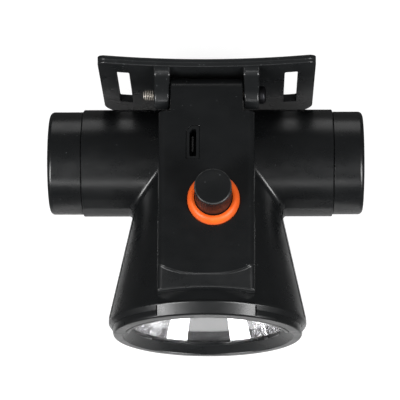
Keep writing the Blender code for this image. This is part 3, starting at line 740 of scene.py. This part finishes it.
def tab_gaps():
    """Narrow dark slots beside the tab."""
    cutters = []
    for side in (-1.0, 1.0):
        low, high = sorted((side * SPINE_HALF, side * (SPINE_HALF + TAB_GAP)))
        cutters.append(box("tab_gap", (low, -RIM_Y + 0.6, 18.0), (high, -TAB_BACK_Y - 0.2, 26.0)))
    return cutters


def lap_point(y, z):
    """Tube outline's y, moved out where the upper shell's flat margin stands proud."""
    if not -1.0 < z < LAP_TOP:
        return y
    join_y = math.sqrt(TUBE_R ** 2 - LAP_TOP ** 2)
    foot_y = math.sqrt(TUBE_R ** 2 - LAP_Z ** 2) + LAP_PROUD
    share = min((LAP_TOP - z) / (LAP_TOP - LAP_Z), 1.0)
    return math.copysign(join_y + (foot_y - join_y) * share, y)


def tube_solid(upper):
    """Battery tube with its necks; the upper shell's margin stands a little proud."""
    outline = []
    for i in range(SMOOTH):
        angle = 2.0 * math.pi * (i + 0.5) / SMOOTH
        y = TUBE_R * math.cos(angle)
        z = TUBE_R * math.sin(angle)
        outline.append((lap_point(y, z) if upper else y, z))
    drawn_in = 0.988                # size of the tube's ends, whose edges are broken
    left_end, right_end = -TUBE_HALF, TUBE_HALF - 0.05
    sections = []
    for x, size in ((left_end, drawn_in), (left_end + 0.18, 1.0), (right_end - 0.18, 1.0),
                    (right_end, drawn_in)):
        sections.append([Vector((x, y * size, z * size)) for y, z in outline])
    tube = loft("tube", sections)
    return union(tube, cylinder("neck", "X", NECK_R, -NECK_END, NECK_END, segments=SMOOTH))


def crease_fillet(side):
    """Rolling-ball fillet where the cone runs into the tube, fading out underneath."""
    tilt = math.atan2(BEZEL_R - CONE_BACK_R, CONE_FRONT_Y)
    sections = []
    start, sweep, steps = -89.0, 164.0, 72
    for i in range(steps + 1):
        climb = start + sweep * i / steps
        ball = CREASE_R * min(1.0, 0.12 + (climb - start) / 40.0)
        forward = (TUBE_R + ball) * math.cos(math.radians(climb))
        z = (TUBE_R + ball) * math.sin(math.radians(climb))
        reach = cone_radius(forward) + ball / math.cos(tilt)
        x = math.sqrt(reach ** 2 - z ** 2)
        centre = Vector((x, -forward, z))
        to_tube = Vector((0.0, forward, -z)).normalized()
        to_cone = -Vector((x * math.cos(tilt) / reach, math.sin(tilt), z * math.cos(tilt) / reach))
        section = []
        for k in range(9):
            direction = to_tube.lerp(to_cone, k / 8).normalized()
            section.append(centre + direction * ball)
        section += [section[-1] + to_cone * 0.7, centre + (to_tube + to_cone) * (ball + 0.8),
                    section[0] + to_tube * 0.7]
        sections.append([Vector((side * p.x, p.y, p.z)) for p in section])
    return loft("crease", sections)


def cone_margin(side):
    """Slightly raised margin along the upper shell's edge on the cone."""
    proud = 0.11
    foot = -1.0
    steps = 10
    sections = []
    for forward in (6.0, 20.0, 34.0, CONE_FRONT_Y):
        radius = cone_radius(forward) + proud
        heights = [foot + (MARGIN_TOP - foot) * k / steps for k in range(steps + 1)]
        outline = [(math.sqrt(radius ** 2 - z ** 2), z) for z in heights]
        outline += [(radius - 1.2, MARGIN_TOP), (radius - 1.2, foot)]
        sections.append([Vector((side * x, -forward, z)) for x, z in outline])
    return loft("cone_margin", sections)


def cone_groove(side):
    """Fine groove along the top of the raised margin on the cone."""
    bottom = MARGIN_TOP + 0.02
    sections = []
    for forward in (5.0, 20.0, 34.0, CONE_FRONT_Y - 0.4):
        surface = math.sqrt(cone_radius(forward) ** 2 - bottom ** 2)
        outline = [(0.6, bottom - 0.37), (-0.22, bottom), (-0.22, bottom + 0.06), (0.6, bottom + 0.43)]
        sections.append([Vector((side * (surface + proud), -forward, z)) for proud, z in outline])
    return loft("cone_groove", sections)


def outside_solid(upper):
    """Outside of one shell before it is hollowed and trimmed to its half."""
    whole = union(tube_solid(upper), head_solid(), crease_fillet(-1.0), crease_fillet(1.0))
    if upper:
        union(whole, cone_margin(-1.0), cone_margin(1.0), spine_solid(), lug_solid(), tab_solid())
        cut(whole, *tab_gaps())
    return whole


def cavity_solid():
    """Room inside the shells."""
    profile = [(0.0, 5.0), (7.0, 5.0), (CONE_BACK_R - WALL, 0.0), (LENS_SEAT_R, -33.0),
               (LENS_SEAT_R, -LENS_SEAT_Y), (0.0, -LENS_SEAT_Y)]
    cavity = lathe("cavity", profile, "Y")
    bore = cylinder("bore", "X", BORE_R, -NECK_END - 1.0, NECK_END + 1.0)
    under_deck = box("under_deck", (WALL - SPINE_HALF, -36.0, 4.0),
                     (SPINE_HALF - WALL, SPINE_REAR_Y - WALL, DECK_Z - WALL))
    return union(cavity, bore, under_deck)


def window_cutter(front_r):
    """Opening in front of the lens: a short straight wall, a flare and a crisp rounded edge."""
    wall_y = LENS_SEAT_Y + 0.7
    edge = 0.3
    profile = [(0.0, -LENS_SEAT_Y + 0.5), (WINDOW_R, -LENS_SEAT_Y + 0.5), (WINDOW_R, -wall_y),
               (WINDOW_R + 0.25, -wall_y), (front_r - edge, -RIM_Y + edge)]
    profile += arc(front_r, -RIM_Y + edge, edge, 210.0, 270.0, 3)
    profile += [(front_r, -RIM_Y - 1.0), (0.0, -RIM_Y - 1.0)]
    return lathe("window", profile, "Y")


def rim_groove():
    """Fine groove in the upper shell's front face."""
    half = 0.16
    deep, clear = -RIM_Y + 0.3, -RIM_Y - 0.5
    profile = [(RIM_GROOVE_R - half, clear), (RIM_GROOVE_R - half, deep),
               (RIM_GROOVE_R + half, deep), (RIM_GROOVE_R + half, clear)]
    return lathe("rim_groove", profile, "Y")


def port_outline(inset):
    """Outline of the charging port with its bevelled corner, drawn in by an inset."""
    low_x = PORT.x - 0.5 * PORT_WIDE + inset
    high_x = PORT.x + 0.5 * PORT_WIDE - inset
    low_y = PORT.y - 0.5 * PORT_LONG + inset
    high_y = PORT.y + 0.5 * PORT_LONG - inset
    bevel = PORT_BEVEL - 0.59 * inset
    points = rounded_outline((low_x, low_y), (high_x, high_y), 0.35, 4, corners=3)
    return points + [(low_x + bevel, high_y), (low_x, high_y - bevel)]


def port_cutter():
    """Port opening with a small flare at the deck."""
    flare = 0.06
    levels = ((20.5, 0.0), (DECK_Z - flare, 0.0), (DECK_Z + 0.02, -flare), (DECK_Z + 1.0, -flare))
    return loft("port", [[Vector((x, y, z)) for x, y in port_outline(inset)]
                         for z, inset in levels])


def deck_cutters():
    """Openings in the deck: charging port, button shaft and the collar's seat."""
    centre = (BUTTON.x, BUTTON.y)
    seat_r = RING_R + 0.12
    seat = [(0.0, RING_SEAT_Z), (seat_r, RING_SEAT_Z), (seat_r, DECK_Z - 0.12),
            (seat_r + 0.14, DECK_Z + 0.02), (seat_r + 0.14, DECK_Z + 1.0), (0.0, DECK_Z + 1.0)]
    return [
        port_cutter(),
        cylinder("button_shaft", "Z", BUTTON_R + 0.35, 21.0, DECK_Z + 1.0, centre),
        lathe("collar_seat", seat, "Z", 96, centre),
    ]


def screw_cutters():
    """Hinge bore, and the holes and head recesses of the housing screws."""
    cutters = [cylinder("hinge_bore", "X", SCREW_R + 0.25, -12.0, 12.0, (HINGE.y, HINGE.z))]
    for side in (-1.0, 1.0):
        place = (side * BOSS_X, BOSS_Y)
        cutters.append(cylinder("screw_hole", "Z", 1.3, -13.0, 9.0, place, 32))
        cutters.append(cylinder("head_recess", "Z", RECESS_R, -22.0, -11.0, place, 48))
    return cutters


def parting_block(top):
    """Half of space, bounded by the stepped parting surface."""
    shift = 0.5 * SEAM if top else -0.5 * SEAM
    far = 60.0 if top else -60.0
    step_x = LAP_X - shift
    outline = [(-60.0, LAP_Z + shift), (-step_x, LAP_Z + shift), (-step_x, shift), (step_x, shift),
               (step_x, LAP_Z + shift), (60.0, LAP_Z + shift), (60.0, far), (-60.0, far)]
    return prism("parting", outline, "Y", -60.0, 60.0)


def make_shell(upper):
    """One finished half of the housing."""
    shell = outside_solid(upper)
    front_r = UPPER_FRONT_R if upper else LOWER_FRONT_R
    cut(shell, cavity_solid(), window_cutter(front_r), *screw_cutters())
    if upper:
        cut(shell, *deck_cutters(), cone_groove(-1.0), cone_groove(1.0), rim_groove())
    boolean(shell, parting_block(upper), "INTERSECT")
    shell.name = "upper_shell" if upper else "lower_shell"
    return finish_mesh(shell)


# ---- caps and bracket

def make_cap(name, node):
    """End cap with a rounded outer edge, as long as its CAD node."""
    low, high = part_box(node)
    side = 1.0 if high[0] > 0.0 else -1.0
    end = max(abs(low[0]), abs(high[0])) / MM
    floor = end - CAP_FLOOR
    mouth = TUBE_HALF + CAP_GAP
    profile = [(0.0, floor), (NECK_R + 0.2, floor), (NECK_R + 0.2, mouth),
               (CAP_R - 0.16, mouth), (CAP_R - 0.03, mouth + 0.06), (CAP_R, mouth + 0.18)]
    profile += arc(CAP_R - CAP_EDGE, end - CAP_EDGE, CAP_EDGE, 0.0, 90.0, 10)
    profile += [(CAP_DISH_R, end), (CAP_DISH_R - 0.3, end - 0.25), (0.0, end - 0.25)]
    return finish_mesh(lathe(name, [(r, side * x) for r, x in profile], "X"))


def plate_front(x):
    """Y of the bracket plate's front face, bent back towards its ends."""
    return PLATE_FRONT_Y + PLATE_BEND_R - math.sqrt(PLATE_BEND_R ** 2 - x ** 2)


def edge_drop(x, corner):
    """How far a rounded corner trims the plate's edge at x."""
    over = abs(x) - (PLATE_HALF - corner)
    if over <= 0.0:
        return 0.0
    return corner - math.sqrt(max(corner ** 2 - over ** 2, 0.0))


def plate_section(x):
    """Outline of the plate's cut across X, with soft edges and the bead along the top."""
    front = plate_front(x)
    rear = front + PLATE_THICK
    top = PLATE_TOP - edge_drop(x, PLATE_TOP_CORNER)
    bottom = PLATE_BOTTOM + edge_drop(x, PLATE_CORNER)
    bead_y = rear - BEAD_FROM_REAR
    low_r, top_r = 0.35, 0.3
    outline = arc(front + low_r, bottom + low_r, low_r, 270.0, 180.0, 4)
    outline += arc(front + top_r, top - 0.25 - top_r, top_r, 180.0, 90.0, 4)
    outline += [(bead_y - 0.12, top - 0.25), (bead_y, top - 0.18), (bead_y + 0.08, top)]
    outline += arc(rear - top_r, top - top_r, top_r, 90.0, 0.0, 4)
    outline += arc(rear - low_r, bottom + low_r, low_r, 0.0, -90.0, 4)
    return [Vector((x, y, z)) for y, z in outline]


def plate_solid():
    """Curved plate with rounded corners."""
    straight = PLATE_HALF - PLATE_CORNER
    stations = [straight * i / 26 for i in range(-26, 27)]
    for i in range(1, 17):
        reach = straight + PLATE_CORNER * math.sin(math.radians(5.25 * i))
        stations = [-reach] + stations + [reach]
    return loft("bracket", [plate_section(x) for x in stations])


def ear_solid(side):
    """Ear with a round end on the hinge axis, a gusset and a flare into the plate."""
    flare_z = HINGE.z + EAR_R + EAR_FLARE_R
    hook_y = HINGE.y + 1.5
    outline = [(PLATE_FRONT_Y + 1.0, flare_z)]
    outline += arc(PLATE_FRONT_Y - EAR_FLARE_R, flare_z, EAR_FLARE_R, 0.0, -90.0, 8)
    outline += arc(HINGE.y, HINGE.z, EAR_R, 90.0, 270.0, 32)
    outline += [(hook_y, HINGE.z - EAR_R)]
    outline += arc(hook_y, HINGE.z - EAR_R - EAR_HOOK_R, EAR_HOOK_R, 70.0, 20.0, 5)
    outline += [(PLATE_FRONT_Y - 0.6, GUSSET_LOW_Z + 2.5), (PLATE_FRONT_Y, GUSSET_LOW_Z),
                (PLATE_FRONT_Y + 1.0, GUSSET_LOW_Z)]
    middle = Vector((0.0, HINGE.y, HINGE.z))
    sections = []
    for x, inset in edge_steps(EAR_IN, EAR_OUT, 0.55):
        section = []
        for y, z in outline:
            offset = Vector((0.0, y, z)) - middle
            if y < PLATE_FRONT_Y:
                offset *= 1.0 - inset / EAR_R
            section.append(Vector((side * x, middle.y + offset.y, middle.z + offset.z)))
        sections.append(section)
    return loft("ear", sections)


def slot_cutter(side):
    """Strap slot with rounded corners."""
    half = 0.5 * SLOT_WIDTH
    outline = rounded_outline((SLOT_X - half, SLOT_LOW), (SLOT_X + half, SLOT_HIGH), 0.5, 5)
    return prism("slot", [(side * x, z) for x, z in outline], "Y", 10.0, 25.0)


def make_bracket():
    """Bracket plate with its two ears, strap slots and hinge bores."""
    bracket = union(plate_solid(), ear_solid(-1.0), ear_solid(1.0))
    bore = cylinder("ear_bore", "X", SCREW_R + 0.12, -20.0, 20.0, (HINGE.y, HINGE.z))
    cut(bracket, slot_cutter(-1.0), slot_cutter(1.0), bore)
    bracket.name = "bracket"
    return finish_mesh(bracket)


def cross_recess(head, axis, centre, low, high, narrow, wide):
    """Cut a cross for a screwdriver into a screw's head; narrow and wide are half sizes."""
    for u, v in ((narrow, wide), (wide, narrow)):
        outline = [(centre[0] + u * right, centre[1] + v * up)
                   for right, up in ((-1, -1), (1, -1), (1, 1), (-1, 1))]
        cut(head, prism("recess", outline, axis, low, high))


def screw_ring(bm, x, radii):
    """Ring of vertices round the hinge axis, from one radius for each."""
    turn = 2.0 * math.pi / len(radii)
    return [bm.verts.new((x, HINGE.y + radius * math.cos(turn * k),
                          HINGE.z + radius * math.sin(turn * k))) for k, radius in enumerate(radii)]


def make_screw_shank():
    """Screw's shank with a helical thread at its bare end."""
    around = 24
    rows = int(THREAD_LENGTH / SCREW_PITCH * 12)
    bm = bmesh.new()
    rings = []
    for i in range(rows + 1):
        along = THREAD_LENGTH * i / rows
        taper = max(0.0, 0.5 - along) * 0.8
        radii = []
        for k in range(around):
            phase = (along / SCREW_PITCH - k / around) % 1.0
            groove = max(0.0, 1.3 * (1.0 - abs(2.0 * phase - 1.0)) - 0.3)
            radii.append(SCREW_R - THREAD_DEPTH * groove - taper)
        rings.append(screw_ring(bm, SCREW_LEFT + along, radii))
    rings.append(screw_ring(bm, SCREW_HEAD_X, [SCREW_R] * around))
    for first, second in zip(rings[:-1], rings[1:]):
        bridge(bm, first, second)
    bm.faces.new(rings[0])
    bm.faces.new(rings[-1])
    return finish_mesh(to_object("tilt_screw_bright", bm), 50.0)


def make_painted_thread_shade():
    """Dark core that shows at the bottom of the thread as painted shade in its grooves."""
    return finish_mesh(cylinder("tilt_screw_painted_shade", "X", SCREW_R - 0.18, SCREW_LEFT + 0.3,
                                SCREW_LEFT + THREAD_LENGTH - 0.3, (HINGE.y, HINGE.z), 32))


def make_screw_head():
    """Rounded screw head with a cross recess."""
    neck_r = 0.9
    rim = SCREW_HEAD_X + 0.9
    top = SCREW_HEAD_X + 1.7
    profile = [(0.0, SCREW_HEAD_X - 0.2), (neck_r, SCREW_HEAD_X - 0.2), (neck_r, SCREW_HEAD_X),
               (SCREW_HEAD_R - 0.1, SCREW_HEAD_X), (SCREW_HEAD_R, SCREW_HEAD_X + 0.1)]
    profile += arc(neck_r, rim, SCREW_HEAD_R - neck_r, 0.0, 90.0, 6, top - rim)
    profile += [(0.0, top)]
    head = lathe("tilt_screw_head", profile, "X", 48, (HINGE.y, HINGE.z))
    cross_recess(head, "X", (HINGE.y, HINGE.z), top - 0.9, top + 0.5, 0.28, 1.15)
    return finish_mesh(head)


def make_housing_screw(name, side):
    """Pan-head screw in its recess under the lamp."""
    centre = (side * BOSS_X, BOSS_Y)
    flat_r, rounding, dome = 1.1, 0.78, 0.75
    seat = PAN_LOW_Z + 1.3
    profile = [(0.0, PAN_LOW_Z)]
    profile += arc(flat_r, PAN_LOW_Z + dome, rounding, -90.0, 0.0, 5, dome)
    profile += [(flat_r + rounding, seat), (1.0, seat), (1.0, 7.5), (0.0, 8.1)]
    screw = lathe(name, profile, "Z", 40, centre)
    cross_recess(screw, "Z", centre, PAN_LOW_Z - 0.85, PAN_LOW_Z + dome, 0.25, 1.0)
    return finish_mesh(screw)


# ---- button, port, light

def make_button():
    """Tall button with a fine rounded top edge and a very slightly dished top."""
    edge = 0.42
    profile = [(0.0, 29.0), (1.95, 29.0), (1.95, BUTTON_BOTTOM), (BUTTON_R, BUTTON_BOTTOM)]
    profile += arc(BUTTON_R - edge, BUTTON_TOP - edge, edge, 0.0, 90.0, 8)
    profile += [(BUTTON_R - 0.9, BUTTON_TOP - 0.02), (2.0, BUTTON_TOP - 0.1),
                (0.0, BUTTON_TOP - 0.13)]
    return finish_mesh(lathe("push_button", profile, "Z", 128, (BUTTON.x, BUTTON.y)))


def make_collar():
    """Soft orange collar, rounded outside and highest at its lip round the button."""
    foot = RING_SEAT_Z + 0.3
    shoulder = DECK_Z + 0.25
    lip = BUTTON_R + 0.1
    crown = RING_IN + 0.3
    profile = [(RING_IN, foot), (RING_R, foot)]
    profile += arc(crown, shoulder, RING_R - crown, 0.0, 90.0, 14, RING_TOP - shoulder)
    profile += [(lip + 0.12, RING_TOP - 0.1), (lip, RING_TOP - 0.35), (lip, RING_TOP - 0.9)]
    return finish_mesh(lathe("orange_collar", profile, "Z", 128, (BUTTON.x, BUTTON.y)))


def make_port_surround():
    """Port surround, set a little below the deck."""
    surround = prism("port_shell", port_outline(0.07), "Z", PORT_LOW_Z, DECK_Z - 0.3)
    cut(surround, prism("mouth", port_outline(0.8), "Z", PORT_LOW_Z + 0.9, DECK_Z + 0.5))
    return finish_mesh(surround)


def make_port_tongue():
    """Contact tongue inside the port."""
    tongue = box("port_tongue", (PORT.x - 0.3, PORT.y - 1.9, PORT_LOW_Z + 1.25),
                 (PORT.x + 0.18, PORT.y + 1.9, DECK_Z - 1.45))
    soften(tongue, 0.08)
    return finish_mesh(tongue)


def bowl_radius(forward):
    """Mirror surface of the reflector, a paraboloid."""
    return math.sqrt(BOWL_WIDTH * max(forward - BOWL_VERTEX_Y, 0.0))


def facet_reach(angle, facets):
    """Share of the round radius that a flat-sided section has at an angle."""
    half = math.pi / facets
    within = (angle % (2.0 * half)) - half
    return math.cos(half) / math.cos(within)


def make_reflector():
    """Reflector bowl whose mirror is made of flat strips that run from the light to the rim."""
    front = REFLECTOR_FRONT_Y
    steps = 28
    around = BOWL_FACETS * 8
    angles = [2.0 * math.pi * k / around for k in range(around)]
    bm = bmesh.new()
    rings = []
    for i in range(steps + 1):
        forward = BOWL_BACK_Y + (front - BOWL_BACK_Y) * i / steps
        ring = []
        for angle in angles:
            radius = bowl_radius(forward) * facet_reach(angle + 0.5 * math.pi, BOWL_FACETS)
            ring.append(bm.verts.new((radius * math.cos(angle), -forward, radius * math.sin(angle))))
        rings.append(ring)
    edge_r = bowl_radius(front) + 0.1
    outside = [(edge_r, -front), (edge_r, -FLANGE_FRONT_Y), (LENS_R, -FLANGE_FRONT_Y),
               (LENS_R, -FLANGE_BACK_Y), (bowl_radius(FLANGE_BACK_Y) + 0.4, -FLANGE_BACK_Y)]
    outside += [(bowl_radius(y) + 1.1, -y) for y in (36.0, 33.0, 30.0, 27.0, 24.5, 22.5, BOWL_BACK_Y)]
    for radius, along in outside:
        rings.append([bm.verts.new((radius * math.cos(angle), along, radius * math.sin(angle)))
                      for angle in angles])
    for first, second in zip(rings, rings[1:] + rings[:1]):
        bridge(bm, first, second)
    return finish_mesh(to_object("mirror_bowl", bm), 9.0)


def make_lens():
    """Clear disc with polished edges."""
    edge = 0.15
    profile = [(0.0, -LENS_FRONT_Y), (LENS_R - edge, -LENS_FRONT_Y), (LENS_R, -LENS_FRONT_Y + edge),
               (LENS_R, -LENS_BACK_Y - edge), (LENS_R - edge, -LENS_BACK_Y), (0.0, -LENS_BACK_Y)]
    return finish_mesh(lathe("clear_lens", profile, "Y"))


def make_gasket():
    """Soft ring round the reflector's front edge that presses on the lens."""
    inner = bowl_radius(REFLECTOR_FRONT_Y) + 0.13
    outer = LENS_R + 0.2
    back = FLANGE_FRONT_Y + 0.1
    front = LENS_BACK_Y - 0.1
    profile = [(inner, -back), (outer - 0.1, -back), (outer, -back - 0.2), (outer, -front + 0.2),
               (outer - 0.1, -front), (inner, -front)]
    return finish_mesh(lathe("front_gasket", profile, "Y"))


def make_led():
    """Emitter with a square base and a clear dome."""
    tip, base_r, base_y = 21.9, 1.9, 20.3
    dome = [(0.0, -tip)] + arc(0.0, -base_y, base_r, -78.75, 0.0, 7, tip - base_y)
    dome += [(base_r, -base_y + 0.4), (0.0, -base_y + 0.4)]
    emitter = lathe("led_dome", dome, "Y", SMALL)
    union(emitter, box("led_base", (-1.6, -20.1, -1.6), (1.6, -19.5, 1.6)))
    return finish_mesh(emitter)


# ---- assembly

def dress_hidden_nodes(looks):
    """Better materials on the CAD nodes whose shapes are kept."""
    kept = {
        "rubber": ("left_cap_gasket", "right_cap_gasket", "switch_body"),
        "board": ("led_board", "driver_board"),
        "aluminium": ("heat_sink",),
        "nickel": ("switch_plunger", "negative_contact", "positive_contact", "cell_spring"),
        "cell": ("battery_cell",),
        "wire": ("left_battery_lead", "right_battery_lead", "left_led_lead", "right_led_lead"),
    }
    for look, nodes in kept.items():
        for node in nodes:
            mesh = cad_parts[node].data
            mesh.materials.clear()
            mesh.materials.append(looks[look])


def dress_housing(looks):
    """Both shells and both end caps."""
    wear(make_shell(True), looks["shell"], "lamp", "shell", "upper_housing")
    wear(make_shell(False), looks["shell"], "lamp", "shell", "lower_housing")
    for body in ("left_cap", "right_cap"):
        node = body.replace("_", "_end_")
        wear(make_cap(body + "_shell", node), looks["cap"], body, "cap", node)


def dress_bracket(looks):
    """Bracket and the screw it tilts on."""
    wear(make_bracket(), looks["bracket"], "bracket", "bracket", "bracket_plate")
    wear(make_screw_shank(), looks["steel"], "bracket", "steel", "tilt_screw")
    wear(make_screw_head(), looks["oxide_and_thread_shade"], "bracket", "steel")
    # painted shade: a dark core that darkens the roots of the thread
    wear(make_painted_thread_shade(), looks["oxide_and_thread_shade"], "bracket", "steel")


def dress_fittings(looks):
    """Housing screws, button, port and light."""
    for label, side in (("left", -1.0), ("right", 1.0)):
        wear(make_housing_screw(label + "_pan_screw", side), looks["oxide_and_thread_shade"], "lamp", "steel",
             label + "_housing_screw")
    wear(make_button(), looks["button"], "button", "button", "button_cap")
    wear(make_collar(), looks["orange"], "lamp", "orange_rubber", "button_ring")
    wear(make_port_surround(), looks["port"], "lamp", "contact", "usb_socket")
    wear(make_port_tongue(), looks["rubber"], "lamp", "button", "usb_tongue")
    wear(make_reflector(), looks["mirror"], "lamp", "reflector", "reflector")
    wear(make_lens(), looks["clear"], "lamp", "window", "lens")
    wear(make_gasket(), looks["rubber"], "lamp", "rubber", "lens_gasket")
    wear(make_led(), looks["led"], "lamp", "led", "led_emitter")


# ---- studio and camera

CAMERA_ELEVATION = 73.45
CAMERA_AZIMUTH = 3.78
CAMERA_ROLL = -3.72
CAMERA_DISTANCE = 555.26
CAMERA_TARGET = Vector((-2.0, -9.71, 0.0))
SENSOR = 36.0
LENS_LENGTH = 198.0


def add_camera():
    """Camera high in front of the lamp, turned and rolled a little to one side."""
    e, a, r = (math.radians(d) for d in (CAMERA_ELEVATION, CAMERA_AZIMUTH, CAMERA_ROLL))
    view = Vector((-math.sin(a) * math.cos(e), math.cos(a) * math.cos(e), -math.sin(e)))
    right = Vector((math.cos(a), math.sin(a), 0.0))
    up = right.cross(view)
    turned_right = right * math.cos(r) + up * math.sin(r)
    turned_up = up * math.cos(r) - right * math.sin(r)
    data = bpy.data.cameras.new("front_camera")
    data.sensor_width = SENSOR
    data.lens = LENS_LENGTH
    data.clip_start = 0.01
    camera = bpy.data.objects.new("front_camera", data)
    bpy.context.scene.collection.objects.link(camera)
    matrix = Matrix((turned_right, turned_up, -view)).transposed().to_4x4()
    matrix.translation = (CAMERA_TARGET - CAMERA_DISTANCE * view + LAMP_ORIGIN) * MM
    camera.matrix_world = matrix
    bpy.context.scene.camera = camera


def add_panel(name, azimuth, elevation, width, height, radiance, distance=0.9):
    """Soft panel facing the lamp: its place and its size are angles in degrees seen from there.

    Azimuth 0 is straight in front of the lens and 180 is behind the bracket.
    """
    turn = math.radians(azimuth)
    rise = math.radians(elevation)
    direction = Vector((math.sin(turn) * math.cos(rise), -math.cos(turn) * math.cos(rise),
                        math.sin(rise)))
    data = bpy.data.lights.new(name, "AREA")
    data.shape = "RECTANGLE"
    data.size = 2.0 * distance * math.tan(math.radians(0.5 * width))
    data.size_y = 2.0 * distance * math.tan(math.radians(0.5 * height))
    data.energy = radiance * math.pi * data.size * data.size_y
    light = bpy.data.objects.new(name, data)
    light.visible_camera = False
    bpy.context.scene.collection.objects.link(light)
    light.location = LAMP_ORIGIN * MM + direction * distance
    light.rotation_euler = direction.to_track_quat("Z", "Y").to_euler()


def floor_paint():
    """Pale floor: evenly white to look at; in reflections its colour shows a painted pool of light
    close to the lamp.
    """
    paint = Surface("floor")
    card = paint.node("ShaderNodeBsdfDiffuse")
    # painted pool of light: pale near the lamp and dark further out, seen only in reflections
    painted_pool, far = (0.6, 0.6, 0.6), (0.08, 0.08, 0.08)
    reach = paint.span(paint.reach(Vector((0.0, -24.0, 0.0))), 42.0 * MM, 58.0 * MM)
    paint.link(paint.ramp(reach, 0.0, 1.0, painted_pool, far), card.inputs["Color"])
    paint.set(Roughness=0.9, Specular_IOR_Level=0.0, Emission_Strength=0.86)
    paint.set(Emission_Color=(1.0, 1.0, 1.0, 1.0))
    paint.drive("Base Color", paint.ramp(paint.noise(300.0), 0.3, 0.7, (0.24, 0.24, 0.24),
                                         (0.26, 0.26, 0.26)))
    mix = paint.node("ShaderNodeMixShader")
    paint.link(paint.node("ShaderNodeLightPath").outputs["Is Camera Ray"], mix.inputs["Fac"])
    paint.link(card.outputs["BSDF"], mix.inputs[1])
    paint.link(paint.shader.outputs["BSDF"], mix.inputs[2])
    paint.link(mix.outputs["Shader"], paint.tree.nodes["Material Output"].inputs["Surface"])
    return paint.material


def add_floor():
    """Wide pale floor under the lamp."""
    z = cad_bounds[0][2]
    reach = 4.0
    corners = [(-reach, -reach, z), (reach, -reach, z), (reach, reach, z), (-reach, reach, z)]
    mesh = bpy.data.meshes.new("floor")
    mesh.from_pydata(corners, [], [(0, 1, 2, 3)])
    floor = bpy.data.objects.new("floor", mesh)
    bpy.context.scene.collection.objects.link(floor)
    mesh.materials.append(floor_paint())


def add_lights():
    """Dim surroundings, a tall soft box on each side, and low cards in front and behind."""
    world = bpy.data.worlds.new("studio")
    world.use_nodes = True
    background = world.node_tree.nodes["Background"]
    background.inputs["Color"].default_value = (0.8, 0.8, 0.8, 1.0)
    background.inputs["Strength"].default_value = 0.13
    bpy.context.scene.world = world
    add_panel("left box", -50.0, 36.0, 18.0, 40.0, 16.0)
    add_panel("right box", 50.0, 36.0, 18.0, 40.0, 16.0)
    add_panel("front card", -12.0, 29.5, 36.0, 9.0, 3.6)
    add_panel("rear card", 180.0, 16.0, 44.0, 30.0, 1.2)
    bpy.context.scene.view_settings.view_transform = "Standard"


looks = make_looks()
add_camera()
add_floor()
add_lights()
dress_housing(looks)
dress_bracket(looks)
dress_fittings(looks)
dress_hidden_nodes(looks)
